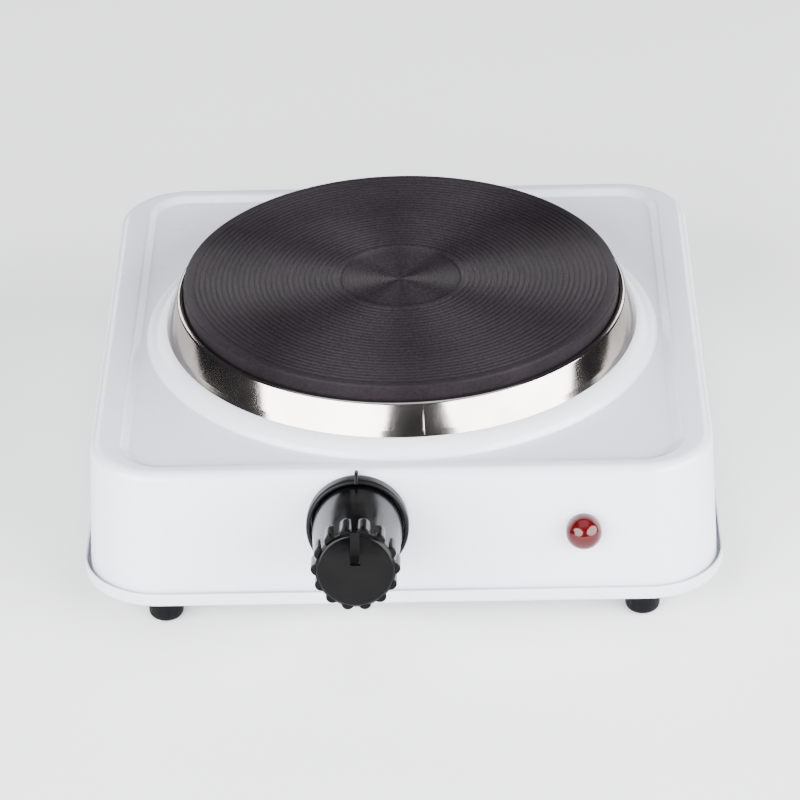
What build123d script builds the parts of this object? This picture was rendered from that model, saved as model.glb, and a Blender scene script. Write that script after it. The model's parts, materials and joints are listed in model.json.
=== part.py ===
from build123d import *
import os
from math import asin, cos, radians, sin, sqrt, tan

# Portable hot plate with one cast-iron burner. Millimetres, +Z up, front towards -Y.
# Everything is modelled about the burner's axis and moved to its final place in Y when written.

# ---- overall sizes ----
base_width = 220.6          # pan rim, side to side
base_depth = 220.6          # pan rim, front to back
pan_corner_r = 27.0
pan_bottom_z = 11.5         # underside of the pan above the table
pan_rim_top_z = 16.8        # seam between pan and shell
deck_border_z = 58.8        # raised border round the deck
sheet_t = 0.8               # pressed steel of shell and pan

# ---- top shell ----
side_rim_gap = 1.3          # shell wall to pan rim, at the sides and back
front_rim_gap = 0.4         # shell wall to pan rim, at the foot of the front wall
front_lean_deg = 10.5       # front wall leans back
side_draft_deg = 2.2        # draft of the other walls
shell_edge_r = 3.5          # round along the top edge
border_side = 6.9           # flat of the border at the sides
border_back = 6.1
border_front = 3.3
recess_depth = 1.8
recess_slope = 2.9          # width of the slope from border to deck
recess_corner_r = 15.0
recess_soft_r = 1.2
emboss_height = 5.0         # raised ring above the deck
emboss_run = 8.0            # width of the rise from the deck to the seat
seat_margin = 5.5           # flat seat beyond the plate's side
emboss_crease_r = 1.0
opening_clear = 1.5         # shell opening to the plate's underside
tab_width = 16.0
tab_reach = 14.0            # inturned tabs that the pan screws bite into
tab_inset = 62.0            # tab centres from the middle plane

# ---- burner plate and trim ring ----
plate_d = 155.0
plate_top_z = 78.0
plate_rim_t = 11.0          # thickness of the plate's outer rim
plate_ledge = 6.0           # the part that drops through the opening is this much smaller
plate_under_drop = 4.5
plate_edge_r = 0.8
recess_edge = 0.6           # slope at the recess's rim
recess_r = 21.8             # turned recess in the middle of the plate
recess_floor_drop = 1.1
groove_first_r = 24.4
groove_pitch = 1.96
groove_w = 0.9
groove_depth = 0.35
groove_edge_margin = 1.6
channel_edge = 13.5         # last channel to the edge of the dropped part
channel_first_r = 30.0
channel_pitch = 14.0
channel_w = 9.0
channel_depth = 8.0
hollow_wall = 4.0           # iron between the middle hollow and the first channel
coil_wire_r = 2.4           # outer radius of the wound coil
coil_roof_gap = 0.5
ring_t = 0.6
ring_plate_gap = 0.15       # trim ring to the plate's side
ring_crown_drop = 5.0       # top of the ring below the plate's top
ring_crown_w = 1.7
ring_flare = 3.9            # how far the skirt spreads below the crown
ring_bend_r = 0.6
ring_ledge_w = 3.4
ring_knee_h = 2.0           # steeper foot of the ring above its seat
ring_knee_in = 0.5
ring_toe_out = 0.6

# ---- underside of the burner ----
stud_r = 3.0
stud_in_plate = 6.0
stud_boss_r = 11.0
stud_hole_clear = 0.3
cover_t = 0.6
cover_flange_w = 6.0
cover_depth = 5.4
cover_wall_run = 3.0
cover_bend_r = 1.0
cover_edge_gap = 0.5
bridge_t = 1.5
bridge_w = 25.0
bridge_bend_r = 3.0
bridge_drop = 15.5          # middle of the bridge below its ends
bridge_end_margin = 3.0     # bridge end inside the edge of the flat seat
bridge_end_flat = 10.0
bridge_slope_run = 12.0
nut_af = 10.0
nut_t = 4.5
washer_r = 7.5
washer_t = 1.2
stud_tail = 3.0
plate_block_w = 34.0
plate_block_d = 23.0
plate_block_h = 9.0
plate_block_corner_r = 3.0
plate_block_chamfer = 0.8
pin_r = 1.2
pin_spread = 12.0
pin_tail = 7.0

# ---- control ----
knob_x = -14.9
knob_z = 40.6
knob_length = 42.0
knob_skirt_r = 15.5
knob_front_r = 13.3
knob_lobe_count = 14
knob_lobe_r = 2.1
knob_lobe_centre_r = 12.7
knob_lobe_length = 8.6
knob_face_r = 12.2
knob_face_setback = 1.0
knob_dome = 0.7
knob_wall = 2.0
knob_wall_gap = 0.9         # knob skirt to the front wall
knob_boss_r = 5.6
knob_boss_setback = 3.5     # boss behind the skirt's back, past the circlip
knob_roof_t = 3.0
knob_lobe_edge_r = 0.5
knob_clip_from = 8.0
knob_clip_end_gap = 0.2
bore_end_gap = 0.5
bore_relief = 0.1
knob_slot_w = 3.4
knob_slot_depth = 0.9
knob_slot_inner_r = 2.0
knob_turn_deg = 270.0
bezel_r = 17.4
bezel_t = 5.0
bezel_knob_gap = 0.4
bezel_fin_w = 1.3
bezel_fin_out = 1.8
bezel_fin_proud = 0.8
bezel_edge_r = 1.2
bezel_fin_inset = 0.2
spindle_r = 3.0
spindle_run_clear = 0.05
spindle_flat_depth = 0.9
spindle_flat_from = 7.0
spindle_reach = 30.0        # spindle tip in front of the wall
circlip_r = 4.6
circlip_t = 0.7
clip_t = 0.4
clip_width = 3.6
bush_r = 4.5
bush_flange_r = 6.2
bush_flange_t = 3.0
bush_depth = 8.6            # tail of the bush behind the mounting frame
bush_hole_clear = 0.4
bush_end_wall = 3.0         # spindle end to the bush's back face
bore_bottom_gap = 0.2
frame_t = 1.2
frame_left = 9.0
frame_right = 25.0
frame_half_h = 13.5
frame_corner_r = 2.0
fixing_screw_offset = 10.0
screw_r = 1.5
screw_head_r = 2.8
screw_head_t = 1.6
fixing_screw_length = 6.0
screw_hole_clear = 0.3
spindle_tip_chamfer = 0.6
spindle_groove_depth = 0.5
spindle_groove_s = 0.3      # circlip groove in front of the wall
circlip_mouth_w = 2.0
stack_u = 18.5              # contact stack, sideways from the spindle
spacer_r = 4.6
spacer_bore_r = 1.5
blade_w = 6.3
blade_t = 0.4
blade_tip = -9.0
blade_tab_reach = 34.0
blade_corner_r = 1.0
contact_inset = 1.0         # contact button in from the blade's tip
bimetal_overhang = 4.0
pin_blade_gap = 0.3
blade_gap = 3.2             # between the two contact blades
contact_r = 2.0
contact_gap = 0.5
bimetal_t = 0.8
bimetal_gap = 2.6
rivet_head_r = 2.9
rivet_head_t = 1.2
push_pin_r = 1.5
push_pin_length = 6.0
push_pin_gap = 0.3          # spindle end to pin at rest
push_pin_travel = 0.8

# ---- pilot lamp ----
lamp_x = 61.4
lamp_z = 36.9
lens_r = 6.0
lens_proud = 7.8
lens_wall = 1.1
lens_straight_share = 0.42  # straight part of the lens below its dome
lamp_stem_r = 4.6
lamp_stem_length = 9.0
lamp_holder_length = 20.0
speed_nut_r = 8.0
speed_nut_t = 0.5
bulb_r = 2.3
bulb_tip_s = 1.0            # bulb tip behind the wall's face
holder_floor_t = 2.0
holder_step = 0.6
holder_wire_r = 0.5
notch_w = 0.7
notch_reach = 1.6

# ---- feet, base, mains entry ----
foot_r = 6.0
foot_x = 82.0
foot_y = 97.0
foot_neck_r = 3.5
foot_barb_r = 4.6
foot_barb_h = 3.6
foot_tip_share = 0.7
foot_edge_r = 2.6
pan_screw_r = 1.75
pan_screw_head_r = 3.4
pan_screw_head_t = 1.9
pan_screw_length = 8.0
slot_w = 4.0
slot_length = 34.0
slot_count = 7
slot_pitch = 9.0
slot_inset = 8.0            # vent rows from the middle line
mains_x = 42.0
mains_y = 66.0
block_w = 36.0
block_d = 20.0
block_h = 15.0
block_poles = 3
pole_bore_r = 2.2
pole_screw_r = 1.7
gland_z = 34.0
gland_bore_r = 3.75
gland_neck_r = 6.0
gland_flange_r = 8.6
gland_flange_t = 2.4
gland_lip_r = 7.6
gland_lip_t = 2.0
gland_edge_r = 1.0
pole_height_share = 0.42    # pole bores up the block
pole_screw_share = 0.28     # pole screws in front of the block's middle
block_chamfer = 1.2
pole_screw_sink = 2.0
pole_slot_w = 0.6
pole_slot_depth = 0.8
earth_x = 84.0
earth_y = 58.0
earth_screw_r = 2.0
earth_screw_length = 12.0
earth_lug_reach = 12.0
earth_lug_t = 0.8
earth_lug_r = 4.2
earth_tongue_w = 3.6
earth_nut_af = 7.0
earth_nut_t = 3.2
earth_screw_head_t = 2.0

# ---- leads ----
lead_r = 1.3
lamp_lead_r = 0.8
run_share = 0.45            # share of a run that a bend may take
widest_bend = 60.0
crimp_l = 8.0
crimp_w = 7.6
crimp_h = 2.6
crimp_tail = 3.0
pin_crimp_r = 2.3
lamp_wire_x = 1.4
lead_touch_gap = 0.3
resistor_r = 1.7
resistor_length = 9.0

# ---- worked out from the sizes above ----
pan_floor_z = pan_bottom_z + sheet_t
shell_half_w = base_width / 2 - sheet_t - side_rim_gap
shell_back_y = base_depth / 2 - sheet_t - side_rim_gap
shell_front_y = -(base_depth / 2 - sheet_t - front_rim_gap)
shell_corner_r = pan_corner_r - sheet_t - side_rim_gap
wall_height = deck_border_z - pan_floor_z
front_set = wall_height * tan(radians(front_lean_deg))
side_set = wall_height * tan(radians(side_draft_deg))
deck_z = deck_border_z - recess_depth
seat_z = deck_z + emboss_height
under_seat_z = seat_z - sheet_t
plate_r = plate_d / 2
plate_under_r = plate_r - plate_ledge
emboss_flat_r = plate_r + seat_margin
emboss_foot_r = emboss_flat_r + emboss_run
opening_r = plate_under_r + opening_clear
plate_rim_z = plate_top_z - plate_rim_t
plate_under_z = plate_rim_z - plate_under_drop
channel_room = plate_under_r - channel_edge - channel_first_r
channel_count = int(round(channel_room / channel_pitch, 6)) + 1
channel_radii = [channel_first_r + channel_pitch * i for i in range(channel_count)]
channel_roof_z = plate_under_z + channel_depth
coil_z = channel_roof_z - coil_roof_gap - coil_wire_r
cover_floor_z = plate_under_z - cover_t - cover_depth
bridge_z = under_seat_z - bridge_t - bridge_drop
bridge_end_reach = emboss_flat_r - bridge_end_margin
bridge_slope_out = bridge_end_reach - bridge_end_flat
bridge_slope_in = bridge_slope_out - bridge_slope_run
cover_nut_z = cover_floor_z - nut_t
stud_bottom_z = bridge_z - washer_t - nut_t - stud_tail
plate_block_top_z = cover_floor_z
front_wall_t = sheet_t * cos(radians(front_lean_deg))
back_wall_t = sheet_t * cos(radians(side_draft_deg))
bush_back = front_wall_t + frame_t + bush_depth
spindle_end = bush_back - bush_end_wall
push_pin_top = spindle_end + push_pin_gap
blade_1 = push_pin_top + push_pin_length + push_pin_travel + pin_blade_gap
blade_2 = blade_1 + blade_t + blade_gap
bimetal_s = blade_2 + blade_t + bimetal_gap


def front_wall_y(z):
    """Outer face of the leaning front wall at a height."""
    return shell_front_y + (z - pan_floor_z) * tan(radians(front_lean_deg))


def back_wall_y(z):
    """Outer face of the back wall at a height."""
    return shell_back_y - (z - pan_floor_z) * tan(radians(side_draft_deg))


front_normal = (0, -cos(radians(front_lean_deg)), sin(radians(front_lean_deg)))
back_normal = (0, cos(radians(side_draft_deg)), sin(radians(side_draft_deg)))
# Local frames: x along the wall, y up the wall, z out of the wall.
knob_seat = Plane(origin=(knob_x, front_wall_y(knob_z), knob_z), x_dir=(1, 0, 0), z_dir=front_normal)
lamp_seat = Plane(origin=(lamp_x, front_wall_y(lamp_z), lamp_z), x_dir=(1, 0, 0), z_dir=front_normal)
gland_seat = Plane(origin=(mains_x, back_wall_y(gland_z), gland_z), x_dir=(-1, 0, 0), z_dir=back_normal)

# The knob's front edge and the pan's back rim set the middle of the whole object in Y.
knob_reach_y = (knob_seat.origin.Y - knob_length * cos(radians(front_lean_deg))
                - knob_lobe_centre_r * sin(radians(front_lean_deg)))
shift_y = -(knob_reach_y + base_depth / 2) / 2


# ---- small helpers ----
def disc(radius, low, high, x=0.0, y=0.0):
    """Upright cylinder between two heights."""
    return Pos(x, y, (low + high) / 2) * Cylinder(radius, high - low)


def tube(outer, inner, low, high, x=0.0, y=0.0):
    """Upright tube between two heights."""
    return disc(outer, low, high, x, y) - disc(inner, low - 1, high + 1, x, y)


def block(x0, x1, y0, y1, z0, z1):
    """Box between two corners."""
    size = Box(x1 - x0, y1 - y0, z1 - z0)
    return Pos((x0 + x1) / 2, (y0 + y1) / 2, (z0 + z1) / 2) * size


def spun(*points):
    """Solid of revolution about Z from (radius, height) points."""
    outline = Polyline(*[(r, 0, z) for r, z in points], close=True)
    return revolve(make_face(outline), Axis.Z)


def spun_sheet(points, bend_r, thickness):
    """Bent sheet spun about Z; points are (radius, height) on the sheet's middle."""
    line = FilletPolyline(*[(r, 0, z) for r, z in points], radius=bend_r)
    skin = offset(Wire(line.edges()), amount=thickness / 2, side=Side.BOTH)
    return revolve(make_face(skin), Axis.Z)


def rounded_plan(width, front_y, back_y, corner_r, z):
    """Rounded rectangle lying at a height."""
    centre = Pos(0, (front_y + back_y) / 2, z)
    return centre * RectangleRounded(width, back_y - front_y, corner_r)


def hexagon(across_flats, low, high, x=0.0, y=0.0):
    """Upright hexagonal prism."""
    outline = RegularPolygon(across_flats / 2, 6, major_radius=False)
    return extrude(Pos(x, y, low) * outline, high - low)


def pan_head_screw(shank_r, head_r, head_t, length):
    """Screw along Z: shank below zero, domed head above, with a crossed recess."""
    head = disc(head_r, 0, head_t)
    head = fillet(head.edges().group_by(Axis.Z)[-1], head_t * 0.55)
    cross = block(-head_r * 0.55, head_r * 0.55, -head_r * 0.12, head_r * 0.12, head_t * 0.45, head_t + 1)
    cross += Rot(0, 0, 90) * cross
    return head + disc(shank_r, -length, 0.1) - cross


def wire_along(points, radius):
    """Insulated wire: straight runs joined by the largest tangent arcs that the runs allow."""
    corners = [Vector(*p) for p in points]
    bends = []
    for before, corner, after in zip(corners, corners[1:], corners[2:]):
        run_in = corner - before
        run_out = after - corner
        half_turn = radians(run_in.get_angle(run_out)) / 2
        bends.append(min(run_share * min(run_in.length, run_out.length) / tan(half_turn), widest_bend))
    path = FilletPolyline(*corners, radius=bends)
    return sweep(Plane(origin=path @ 0, z_dir=path % 0) * Circle(radius), path=path)


# ---- shell ----
def wall_form(inset, top_z):
    """Body of the shell, drawn in from the outside by an inset on every wall."""
    foot = rounded_plan(2 * (shell_half_w - inset), shell_front_y + inset, shell_back_y - inset,
                        shell_corner_r - inset, pan_floor_z)
    head = rounded_plan(2 * (shell_half_w - side_set - inset), shell_front_y + front_set + inset,
                        shell_back_y - side_set - inset, shell_corner_r - inset, deck_border_z)
    body = loft([foot, head], ruled=True)
    cap = block(-base_width, base_width, -base_depth, base_depth, top_z, deck_border_z + 10)
    body = body - cap if top_z < deck_border_z else body
    return fillet(body.faces().sort_by(Axis.Z)[-1].edges(), shell_edge_r - inset)


def deck_recess(drop):
    """Sunken deck, lowered by a drop, with sloping sides."""
    half = shell_half_w - side_set - shell_edge_r - border_side
    front = shell_front_y + front_set + shell_edge_r * 0.6 + border_front
    back = shell_back_y - side_set - border_back
    mouth = rounded_plan(2 * half, front, back, recess_corner_r, deck_border_z)
    floor = rounded_plan(2 * (half - recess_slope), front + recess_slope, back - recess_slope,
                         recess_corner_r - recess_slope, deck_z)
    hollow = loft([floor, mouth], ruled=True)
    hollow = fillet(hollow.faces().sort_by(Axis.Z)[0].edges(), recess_soft_r)
    return Pos(0, 0, -drop) * hollow


def emboss(drop):
    """Soft raised ring that the trim ring stands on, lowered by a drop."""
    run = emboss_foot_r - emboss_flat_r
    arc_r = (run ** 2 + emboss_height ** 2) / (2 * emboss_height)
    half_turn = asin(run / arc_r) / 2
    middle = (emboss_flat_r + arc_r * sin(half_turn), seat_z - arc_r * (1 - cos(half_turn)))
    low = deck_z - 6
    far = emboss_foot_r + 3
    rise = ThreePointArc((emboss_foot_r, 0, deck_z), (middle[0], 0, middle[1]), (emboss_flat_r, 0, seat_z))
    top = Line((emboss_flat_r, 0, seat_z), (opening_r - 3, 0, seat_z))
    rest = Polyline((opening_r - 3, 0, seat_z), (opening_r - 3, 0, low), (far, 0, low), (far, 0, deck_z),
                    (emboss_foot_r, 0, deck_z))
    profile = make_face(rise + top + rest)
    crease = [v for v in profile.vertices() if abs(v.X - emboss_foot_r) < 0.01 and abs(v.Z - deck_z) < 0.01]
    profile = fillet(crease, emboss_crease_r)
    return Pos(0, 0, -drop) * revolve(profile, Axis.Z)


def soften_recess(body):
    """Round the recess's upper edge."""
    half = shell_half_w - side_set - shell_edge_r - border_side + 0.5
    ring = [e for e in body.edges()
            if abs(e.center().Z - deck_border_z) < 0.01 and abs(e.center().X) < half
            and e.center().Y > shell_front_y + front_set + shell_edge_r * 0.6 + border_front - 0.5
            and e.center().Y < shell_back_y - side_set - border_back + 0.5]
    return fillet(ring, recess_soft_r)


def pan_screw_places():
    """Screw centres: two along each side."""
    x = shell_half_w - sheet_t - tab_reach / 2
    return [(sx * x, sy * tab_inset) for sx in (-1, 1) for sy in (-1, 1)]


def make_top_shell():
    outer = soften_recess(wall_form(0, deck_border_z) - deck_recess(0)) + emboss(0)
    inner = wall_form(sheet_t, deck_border_z - sheet_t) - deck_recess(sheet_t) + emboss(sheet_t)
    shell = outer - inner
    shell -= disc(opening_r, deck_z - 10, seat_z + 10)
    shell -= knob_seat * Cylinder(bush_r + bush_hole_clear, 8)
    for side in (-1, 1):
        shell -= knob_seat * Pos(0, side * fixing_screw_offset, 0) * Cylinder(screw_r + screw_hole_clear, 8)
    shell -= lamp_seat * Cylinder(lamp_stem_r, 8)
    shell -= gland_seat * Cylinder(gland_neck_r, 8)
    root = shell_half_w - sheet_t / 2
    for x, y in pan_screw_places():
        side = 1 if x > 0 else -1
        low, high = sorted([side * root, x - side * tab_reach / 2])
        tab = block(low, high, y - tab_width / 2, y + tab_width / 2, pan_floor_z, pan_floor_z + sheet_t)
        shell += tab - disc(pan_screw_r, pan_floor_z - 1, pan_floor_z + 3, x, y)
    return shell


# ---- pan, feet, screws ----
def foot_places():
    return {"foot_front_left": (-foot_x, -foot_y), "foot_front_right": (foot_x, -foot_y),
            "foot_back_left": (-foot_x, foot_y), "foot_back_right": (foot_x, foot_y)}


def make_bottom_pan():
    half_d = base_depth / 2
    outer = extrude(rounded_plan(base_width, -half_d, half_d, pan_corner_r, pan_bottom_z),
                    pan_rim_top_z - pan_bottom_z)
    outer = fillet(outer.edges().group_by(Axis.Z)[0], sheet_t * 2)
    inside = extrude(rounded_plan(base_width - 2 * sheet_t, -half_d + sheet_t, half_d - sheet_t,
                                  pan_corner_r - sheet_t, pan_floor_z), pan_rim_top_z)
    inside = fillet(inside.edges().group_by(Axis.Z)[0], min(sheet_t, front_rim_gap * 0.9))
    pan = outer - inside
    pan = fillet(pan.edges().group_by(Axis.Z)[-1], sheet_t * 0.3)
    holes = [(x, y, foot_neck_r) for x, y in foot_places().values()]
    holes += [(x, y, pan_screw_r) for x, y in pan_screw_places()]
    holes += [(mains_x, mains_y, screw_r), (earth_x, earth_y, earth_screw_r)]
    for x, y, radius in holes:
        pan -= disc(radius, pan_bottom_z - 1, pan_floor_z + 1, x, y)
    vent = extrude(Pos(0, 0, pan_bottom_z - 1) * SlotOverall(slot_length, slot_w), 4)
    for side in (-1, 1):
        for i in range(slot_count):
            y = (i - (slot_count - 1) / 2) * slot_pitch
            pan -= Pos(side * (slot_length / 2 + slot_inset), y, 0) * vent
    return pan


def make_foot(x, y):
    pad = disc(foot_r, 0, pan_bottom_z)
    pad = fillet(pad.edges().group_by(Axis.Z)[0], foot_edge_r)
    neck = disc(foot_neck_r, pan_bottom_z - 0.1, pan_floor_z)
    tip_r = foot_neck_r * foot_tip_share
    barb = spun((0, pan_floor_z), (foot_barb_r, pan_floor_z), (tip_r, pan_floor_z + foot_barb_h),
                (0, pan_floor_z + foot_barb_h))
    return Pos(x, y, 0) * (pad + neck + barb)


def make_pan_screws():
    screw = Pos(0, 0, pan_bottom_z) * Rot(180, 0, 0) * pan_head_screw(
        pan_screw_r, pan_screw_head_r, pan_screw_head_t, pan_screw_length)
    return [Pos(x, y, 0) * screw for x, y in pan_screw_places()]


# ---- burner ----
def groove_radii():
    """Radii of the fine grooves, from the recess out to the plate's edge."""
    room = plate_r - plate_edge_r - groove_edge_margin - groove_first_r
    return [groove_first_r + groove_pitch * i for i in range(int(room / groove_pitch) + 1)]


def make_burner_plate():
    top = [(0, plate_top_z - recess_floor_drop), (recess_r - recess_edge, plate_top_z - recess_floor_drop),
           (recess_r, plate_top_z)]
    for radius in groove_radii():
        top += [(radius - groove_w / 2, plate_top_z), (radius, plate_top_z - groove_depth),
                (radius + groove_w / 2, plate_top_z)]
    soft = plate_edge_r * 0.3
    rim = [(plate_r - plate_edge_r, plate_top_z), (plate_r - soft, plate_top_z - soft),
           (plate_r, plate_top_z - plate_edge_r), (plate_r, plate_rim_z + ring_bend_r),
           (plate_r - ring_bend_r, plate_rim_z), (plate_under_r, plate_rim_z),
           (plate_under_r, plate_under_z), (0, plate_under_z)]
    plate = spun(*(top + rim))
    for radius in channel_radii:
        plate -= tube(radius + channel_w / 2, radius - channel_w / 2, plate_under_z - 1, channel_roof_z)
    hollow_r = channel_first_r - channel_w / 2 - hollow_wall
    hollow = tube(hollow_r, stud_boss_r, plate_under_z - 1, channel_roof_z)
    plate -= hollow
    return plate - disc(stud_r, plate_under_z - 1, plate_under_z + stud_in_plate)


def pin_places():
    """Terminal pins drop from the inner channel, one each side of the middle."""
    y = -sqrt(channel_first_r ** 2 - pin_spread ** 2)
    return [(-pin_spread, y), (pin_spread, y)]


def make_plate_pins():
    low = plate_block_top_z - plate_block_h - pin_tail
    return [disc(pin_r, low, coil_z - coil_wire_r, x, y) for x, y in pin_places()]


def make_heating_coils():
    return [Pos(0, 0, coil_z) * Torus(radius, coil_wire_r) for radius in channel_radii]


def make_coil_packing():
    rings = []
    for radius in channel_radii:
        ring = tube(radius + channel_w / 2, radius - channel_w / 2, plate_under_z, channel_roof_z)
        slot = tube(radius + coil_wire_r, radius - coil_wire_r, coil_z, channel_roof_z + 1)
        ring = ring - slot - Pos(0, 0, coil_z) * Torus(radius, coil_wire_r)
        for x, y in pin_places():
            if abs(sqrt(x * x + y * y) - radius) < 0.1:
                ring -= disc(pin_r, plate_under_z - 1, coil_z, x, y)
        rings.append(ring)
    return rings


def make_burner_cover():
    half = cover_t / 2
    rim_z = plate_under_z - half
    floor_z = cover_floor_z + half
    wall_r = plate_under_r - cover_flange_w
    points = [(plate_under_r - cover_edge_gap, rim_z), (wall_r, rim_z), (wall_r - cover_wall_run, floor_z),
              (stud_r + stud_hole_clear, floor_z)]
    cover = spun_sheet(points, cover_bend_r, cover_t)
    cover -= disc(stud_r, cover_floor_z - 2, cover_floor_z + 4)
    for x, y in pin_places():
        cover -= disc(pin_r, cover_floor_z - 2, plate_under_z, x, y)
    return cover


def make_trim_ring():
    inner_r = plate_r + ring_plate_gap + ring_t / 2
    crown_z = plate_top_z - ring_crown_drop - ring_t / 2
    crown_r = inner_r + ring_crown_w
    toe_r = crown_r + ring_flare
    ledge_z = plate_rim_z - ring_t / 2
    knee_z = seat_z + ring_knee_h
    points = [(toe_r + ring_toe_out, seat_z - ring_t), (toe_r - ring_knee_in, knee_z), (crown_r, crown_z),
              (inner_r, crown_z),
              (inner_r, ledge_z), (inner_r - ring_ledge_w, ledge_z)]
    ring = spun_sheet(points, ring_bend_r, ring_t)
    return ring - disc(plate_r * 2, seat_z - 5, seat_z)


def make_centre_stud():
    return disc(stud_r, stud_bottom_z, plate_under_z + stud_in_plate)


def make_stud_spacer():
    """Tube on the stud between the cover's nut and the bridge."""
    return tube(stud_r * 1.7, stud_r, bridge_z + bridge_t, cover_nut_z)


def make_clamp_bridge():
    half = bridge_t / 2
    end_z = under_seat_z - half
    mid_z = bridge_z + half
    side = [(bridge_end_reach, end_z), (bridge_slope_out, end_z), (bridge_slope_in, mid_z)]
    points = [(-x, 0, z) for x, z in side] + [(x, 0, z) for x, z in reversed(side)]
    line = FilletPolyline(*points, radius=bridge_bend_r)
    skin = offset(Wire(line.edges()), amount=half, side=Side.BOTH, kind=Kind.INTERSECTION)
    strap = extrude(make_face(skin), bridge_w / 2, both=True, dir=(0, 1, 0))
    bore = disc(stud_r + stud_hole_clear, mid_z - 5, mid_z + 5)
    trimmed = block(-bridge_end_reach, bridge_end_reach, -bridge_w, bridge_w, mid_z - 5, under_seat_z)
    return (strap & trimmed) - bore


def make_stud_nuts():
    cover_nut = hexagon(nut_af, cover_nut_z, cover_floor_z)
    cover_nut -= disc(stud_r, cover_nut_z - 1, cover_floor_z + 1)
    low = bridge_z - washer_t - nut_t
    clamp_nut = hexagon(nut_af, low, low + nut_t) - disc(stud_r, low - 1, low + nut_t + 1)
    return [cover_nut, clamp_nut]


def make_clamp_washer():
    return tube(washer_r, stud_r + 0.2, bridge_z - washer_t, bridge_z)


def make_plate_terminal_body():
    centre_y = pin_places()[0][1]
    low = plate_block_top_z - plate_block_h
    half_d = plate_block_d / 2
    body = block(-plate_block_w / 2, plate_block_w / 2, centre_y - half_d, centre_y + half_d,
                 low, plate_block_top_z)
    body = fillet(body.edges().filter_by(Axis.Z), plate_block_corner_r)
    body = chamfer(body.edges().group_by(Axis.Z)[0], plate_block_chamfer)
    for x, y in pin_places():
        body -= disc(pin_r, low - 1, plate_block_top_z + 1, x, y)
    return body


# ---- control: local frame of the front wall, z out of the wall ----
def make_bezel():
    ring = tube(bezel_r, knob_skirt_r + bezel_knob_gap, 0, bezel_t)
    ring = fillet(ring.edges().group_by(Axis.Z)[-1].sort_by(SortBy.LENGTH)[-1:], bezel_edge_r)
    fin_from = knob_skirt_r + bezel_knob_gap + bezel_fin_inset
    fin = block(-bezel_fin_w / 2, bezel_fin_w / 2, fin_from, bezel_r + bezel_fin_out,
                0, bezel_t + bezel_fin_proud)
    fin = chamfer(fin.edges().group_by(Axis.Z)[-1].group_by(Axis.Y)[-1], bezel_fin_out * 0.9)
    return knob_seat * (ring + fin)


def knob_taper(s):
    """Outer radius of the grip at a distance from the wall."""
    start = bezel_t
    share = (s - start) / (knob_length - knob_face_setback - start)
    return knob_skirt_r - (knob_skirt_r - knob_front_r) * share


def flat_bore(radius, low, high):
    """Bore with one flat, as on a D spindle."""
    hole = disc(radius, low, high)
    return hole - block(-radius, radius, radius - spindle_flat_depth, radius + 1, low - 1, high + 1)


def make_knob():
    front = knob_length - knob_dome
    rim = front - knob_face_setback
    grip = spun((0, knob_wall_gap), (knob_skirt_r, knob_wall_gap), (knob_skirt_r, bezel_t),
                (knob_taper(rim), rim), (knob_face_r, front), (0, front))
    dome_r = (knob_face_r ** 2 + knob_dome ** 2) / (2 * knob_dome)
    dome = Pos(0, 0, knob_length - dome_r) * Sphere(dome_r)
    dome = dome & disc(knob_face_r, front - 0.2, knob_length + 1)
    lobe = disc(knob_lobe_r, rim - knob_lobe_length, rim, knob_lobe_centre_r, 0)
    lobe += Pos(knob_lobe_centre_r, 0, rim - knob_lobe_length) * Sphere(knob_lobe_r)
    lobe = fillet(lobe.edges().group_by(Axis.Z)[-1], knob_lobe_edge_r)
    knob = grip + dome
    for i in range(knob_lobe_count):
        knob += Rot(0, 0, 360 * i / knob_lobe_count) * lobe
    hollow = spun((knob_boss_r, 0), (knob_skirt_r - knob_wall, 0), (knob_skirt_r - knob_wall, bezel_t),
                  (knob_taper(rim) - knob_wall, rim - knob_roof_t),
                  (knob_boss_r, rim - knob_roof_t))
    boss_relief = disc(knob_boss_r + bore_relief, 0, circlip_t + knob_boss_setback)
    bore = flat_bore(spindle_r, 0, spindle_reach + bore_end_gap)
    bore += disc(spindle_r + bore_relief, 0, spindle_flat_from + knob_clip_end_gap + bore_relief)
    clip_room = block(-clip_width / 2, clip_width / 2, spindle_r - spindle_flat_depth,
                      spindle_r - spindle_flat_depth + clip_t, knob_clip_from, spindle_reach)
    slot = block(-knob_slot_w / 2, knob_slot_w / 2, knob_slot_inner_r, knob_face_r + 3,
                 knob_length - knob_dome - knob_slot_depth, knob_length + 1)
    return knob_seat * (knob - hollow - boss_relief - bore - clip_room - slot)


def make_knob_clip():
    leaf = block(-clip_width / 2, clip_width / 2, spindle_r - spindle_flat_depth,
                 spindle_r - spindle_flat_depth + clip_t, knob_clip_from + knob_clip_end_gap,
                 spindle_reach - knob_clip_end_gap)
    return knob_seat * leaf


def make_spindle():
    shaft = disc(spindle_r, -spindle_end, spindle_reach)
    shaft = chamfer(shaft.edges().group_by(Axis.Z)[-1], spindle_tip_chamfer)
    flat = block(-spindle_r, spindle_r, spindle_r - spindle_flat_depth, spindle_r + 1,
                 spindle_flat_from, spindle_reach + 1)
    groove = tube(spindle_r + 1, spindle_r - spindle_groove_depth, spindle_groove_s,
                  spindle_groove_s + circlip_t)
    return knob_seat * (shaft - flat - groove)


def make_circlip():
    ring = tube(circlip_r, spindle_r - spindle_groove_depth, spindle_groove_s, spindle_groove_s + circlip_t)
    gap = block(-circlip_mouth_w / 2, circlip_mouth_w / 2, -circlip_r - 1, -spindle_r / 2, 0, 2)
    return knob_seat * (ring - gap)


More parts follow.
